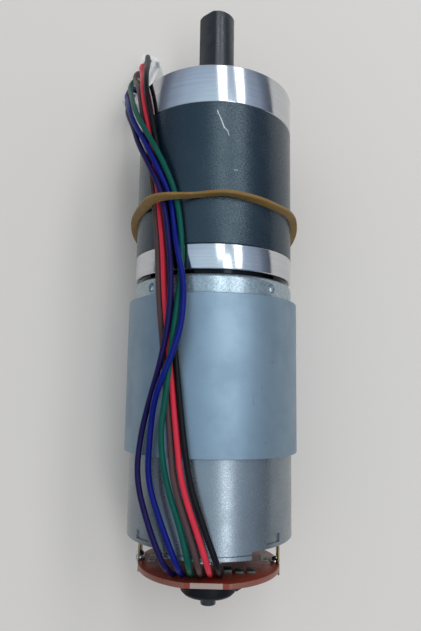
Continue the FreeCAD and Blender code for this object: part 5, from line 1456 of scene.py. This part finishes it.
def tin():
    finish = Finish("tinned", (0.70, 0.70, 0.69), 0.26, metallic=1.0)
    cast = finish.noise(0.5, detail=4)
    finish.tint(finish.shaped(cast, 0.4, 0.8, 0.0, 0.7), (0.52, 0.52, 0.52))
    finish.rough(finish.shaped(cast, 0.3, 0.8, 0.16, 0.38))
    finish.bump(cast, 0.02, 0.4)
    return finish.material


def dull_tin():
    finish = Finish("dull_tin", (0.10, 0.11, 0.10), 0.55, metallic=0.6)
    cast = finish.noise(0.4, detail=4)
    finish.tint(finish.shaped(cast, 0.45, 0.8, 0.0, 0.7), (0.20, 0.20, 0.18))
    finish.rough(finish.shaped(cast, 0.3, 0.8, 0.42, 0.62))
    finish.bump(cast, 0.01, 0.4)
    return finish.material


# %% [markdown]
# ### Ferrite and everything moulded
#
# The field magnets are sintered ferrite, grey and grainy. One recipe, given a colour and
# a gloss each time, serves the small moulded parts, the magnet wheel and the brushes.

# %% Ferrite and moulded plastic
def ferrite():
    finish = Finish("ferrite", (0.045, 0.045, 0.048), 0.75)
    grains = finish.noise(0.35, detail=5)
    finish.tint(finish.shaped(grains, 0.5, 0.8, 0.0, 0.7), (0.085, 0.083, 0.082))
    finish.rough(finish.shaped(grains, 0.3, 0.8, 0.62, 0.85))
    finish.bump(grains, 0.04, 0.5)
    return finish.material


def moulded(name, colour, roughness=0.42, specular=0.3):
    """Plastic, rubber or carbon: a matt grain, slight clouds and a little dust."""
    finish = Finish(name, colour, roughness, specular=specular)
    pores = finish.noise(0.30, detail=3)
    clouds = finish.noise(3.5, detail=3)
    lighter = tuple(min(1.0, part * 1.25 + 0.004) for part in colour)
    finish.tint(finish.shaped(clouds, 0.4, 0.8, 0.0, 0.6), lighter)
    finish.rough(finish.shaped(pores, 0.3, 0.8, roughness - 0.07, roughness + 0.10))
    finish.bump(pores, 0.012, 0.5)
    return finish.material


# %% [markdown]
# ### The encoder's board
#
# Satin red-brown solder resist over laminate. The cut rim shows the paler, fibrous
# core, so the colour changes with the distance from the axis. The finish is a base with
# a clear coat, and the coat's own values are constants on its sockets.

# %% The board
def board_resist():
    finish = Finish("board_resist", (0.25, 0.040, 0.022), 0.42, specular=0.3)
    weave = finish.noise(0.5, detail=2, stretch=(1, 1, 3))
    clouds = finish.noise(4.0, detail=3)
    finish.tint(finish.shaped(clouds, 0.4, 0.8, 0.0, 0.6), (0.18, 0.026, 0.014))
    finish.tint(finish.shaped(weave, 0.55, 0.8, 0.0, 0.4), (0.29, 0.058, 0.032))
    rim = finish.shaped(finish.from_axis(), BOARD_RADIUS - 0.10, BOARD_RADIUS - 0.01)
    finish.tint(rim, (0.22, 0.082, 0.058))
    place = finish.split_place()
    on_the_flat = finish.math("GREATER_THAN", place["Z"], BOARD_FLAT - 0.1)
    in_the_middle = finish.math("LESS_THAN", finish.math("ABSOLUTE", place["X"]), 3.7)
    finish.tint(finish.times(on_the_flat, in_the_middle), (0.40, 0.31, 0.27))
    finish.rough(finish.shaped(clouds, 0.3, 0.8, 0.34, 0.50))
    finish.bump(weave, 0.01, 0.3)
    finish.set("Coat Weight", 0.15)
    finish.set("Coat Roughness", 0.2)
    return finish.material


# %% [markdown]
# ### The wires, the plug and the rubber band
#
# PVC insulation is satin and a touch uneven, because it was pulled over the strands.
# The plug is milky nylon, which lets a little light in, so it has some subsurface
# scattering. The rubber band is tan, slightly translucent and dusty.

# %% PVC, nylon and rubber
PVC = {
    "violet": (0.008, 0.005, 0.065), "blue": (0.001, 0.007, 0.150), "green": (0.001, 0.074, 0.056),
    "brown": (0.072, 0.042, 0.044), "red": (0.580, 0.030, 0.058), "black": (0.004, 0.004, 0.006)}


def pvc(colour):
    base = PVC[colour]
    finish = Finish(colour + "_pvc", base, 0.42, specular=0.13)
    pulled = finish.noise(1.1, detail=2, stretch=(1, 5, 1))
    dust = finish.noise(0.6, detail=4)
    lighter = tuple(min(1.0, part * 1.2 + 0.003) for part in base)
    finish.tint(finish.shaped(pulled, 0.4, 0.75, 0.0, 0.6), lighter)
    finish.rough(finish.shaped(dust, 0.3, 0.8, 0.34, 0.50))
    finish.bump(pulled, 0.03, 0.35)
    return finish.material


def white_nylon():
    finish = Finish("white_nylon", (0.80, 0.82, 0.82), 0.34)
    flow = finish.noise(2.5, detail=3)
    pores = finish.noise(0.25, detail=3)
    finish.tint(finish.shaped(flow, 0.4, 0.8, 0.0, 0.7), (0.72, 0.75, 0.78))
    finish.rough(finish.shaped(pores, 0.3, 0.8, 0.27, 0.42))
    finish.bump(pores, 0.01, 0.4)
    finish.set("Subsurface Weight", 0.25)
    finish.set("Subsurface Scale", 0.6 * MM)
    return finish.material


def tan_rubber():
    finish = Finish("tan_rubber", (0.205, 0.120, 0.032), 0.52, specular=0.3)
    streaks = finish.noise(0.8, detail=4, stretch=(4, 1, 4))
    dust = finish.noise(0.35, detail=4)
    finish.tint(finish.shaped(streaks, 0.4, 0.75, 0.0, 0.7), (0.250, 0.165, 0.052))
    finish.tint(finish.shaped(dust, 0.58, 0.8, 0.0, 0.4), (0.30, 0.23, 0.12))
    finish.rough(finish.shaped(dust, 0.3, 0.8, 0.42, 0.62))
    finish.bump(streaks, 0.03, 0.4)
    finish.set("Subsurface Weight", 0.2)
    finish.set("Subsurface Scale", 0.5 * MM)
    return finish.material


# %% [markdown]
# ## The finishes go on
#
# The record gives every CAD node a slot with a plain name. Each slot gets one finish
# here, and the nodes that no piece replaces, such as the gears and the windings, wear it.

# %% One material for each slot of the record
FINISHES = {
    "turned_aluminium": turned_aluminium(), "dark_steel": dark_oxide(), "zinc_plate": can_zinc(),
    "pale_zinc_plate": ring_zinc(), "black_steel": black_oxide(), "gear_steel": machined_steel(),
    "bearing_steel": bearing_steel(), "lamination_steel": laminations(), "ferrite": ferrite(),
    "copper": enamelled_copper(), "brass": brass(), "solder": tin(), "tin_plate": brass("tinned_brass"),
    "carbon": moulded("carbon", (0.035, 0.035, 0.036), 0.60),
    "insulator": moulded("insulator", (0.40, 0.07, 0.04)),
    "bell_plastic": moulded("bell_plastic", (0.030, 0.031, 0.034), 0.5),
    "board_laminate": board_resist(),
    "black_epoxy": moulded("black_epoxy", (0.018, 0.018, 0.019), 0.4),
    "pads": moulded("pale_pads", (0.52, 0.50, 0.44), 0.45),
    "magnet_black": moulded("magnet_black", (0.004, 0.004, 0.007), 0.50, specular=0.18),
    "white_nylon": white_nylon(), "tan_rubber": tan_rubber(),
}
FINISHES["screw_steel"] = FINISHES["black_steel"]
FINISHES["shaft_steel"] = FINISHES["bearing_steel"]
for colour in PVC:
    FINISHES[colour + "_pvc"] = pvc(colour)
print(len(FINISHES), "finishes")

# %% Finishes on the CAD nodes
SLOT_OF_NODE = {part["node"]: part["material_slot"] for part in frame["record"]["subparts"]}
for node, solid in frame["nodes"].items():
    for slot in solid.material_slots:
        slot.material = FINISHES[SLOT_OF_NODE[node]]
for slot in frame["nodes"]["commutator"].material_slots:
    slot.material = bare_copper()
print("finishes on", len(frame["nodes"]), "CAD nodes")

# %% [markdown]
# ## The pieces take their places
#
# Each row below names a piece, the body that it moves with, the CAD node that it stands
# for and its slot. The wheel and its hub ride on the rotor, and the shaft and its circlip
# on the output. Two pieces wear a finish of their own: the adapter plate's step behind is
# painted almost black, as painted shade in the gap to the can, and the chip parts' ends
# are duller than the solder.

# %% Where the new pieces belong
PIECES = [
    (front_cap, "casing", "front_cap", "turned_aluminium"),
    (gear_case, "casing", "gear_case", "dark_steel"),
    (adapter_plate, "casing", "adapter_plate", "turned_aluminium"),
    (motor_can, "casing", "motor_can", "zinc_plate"),
    (flux_ring, "casing", "flux_ring", "pale_zinc_plate"),
    (end_bell, "casing", "end_bell", "bell_plastic"),
    (encoder_board, "casing", "encoder_board", "board_laminate"),
    (output_shaft, "output", "output_shaft", "black_steel"),
    (encoder_magnet, "rotor", "encoder_magnet", "magnet_black"),
    (magnet_hub, "rotor", "magnet_hub", "black_steel"),
    (terminals, "casing", "motor_terminals", "brass"),
    (solder, "casing", "solder_joints", "solder"),
    (pads, "casing", "board_parts", "pads"),
    (chip_bodies, "casing", "board_parts", "black_epoxy"),
    (chip_ends, "casing", "board_parts", "solder"),
    (hall_bodies, "casing", "hall_sensors", "black_epoxy"),
    (hall_legs, "casing", "hall_sensors", "solder"),
    (cap_screws, "casing", "cap_screws", "screw_steel"),
    (circlip, "output", "shaft_circlip", "black_steel"),
    (plug, "casing", "connector_housing", "white_nylon"),
    (rubber_band, "casing", "rubber_band", "tan_rubber"),
]
OWN_FINISH = {
    adapter_plate: turned_aluminium("aluminium_painted_step_shade", painted_shade_step=True), chip_ends: dull_tin()}


def dress(piece, body, node, slot):
    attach(piece, body)
    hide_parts(node)
    piece.data.materials.clear()
    piece.data.materials.append(OWN_FINISH.get(piece, FINISHES[slot]))


for piece, body, node, slot in PIECES:
    dress(piece, body, node, slot)
print(len(PIECES), "pieces and", len(wires), "wires")

# %% [markdown]
# The wires ride on the casing. Each leaves the board at its first point, follows its
# centre line and ends in the plug, which rides on the casing as well.

# %% Finish
for colour, wire in wires.items():
    dress(wire, "casing", "wire_" + colour, colour + "_pvc")

low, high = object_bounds()
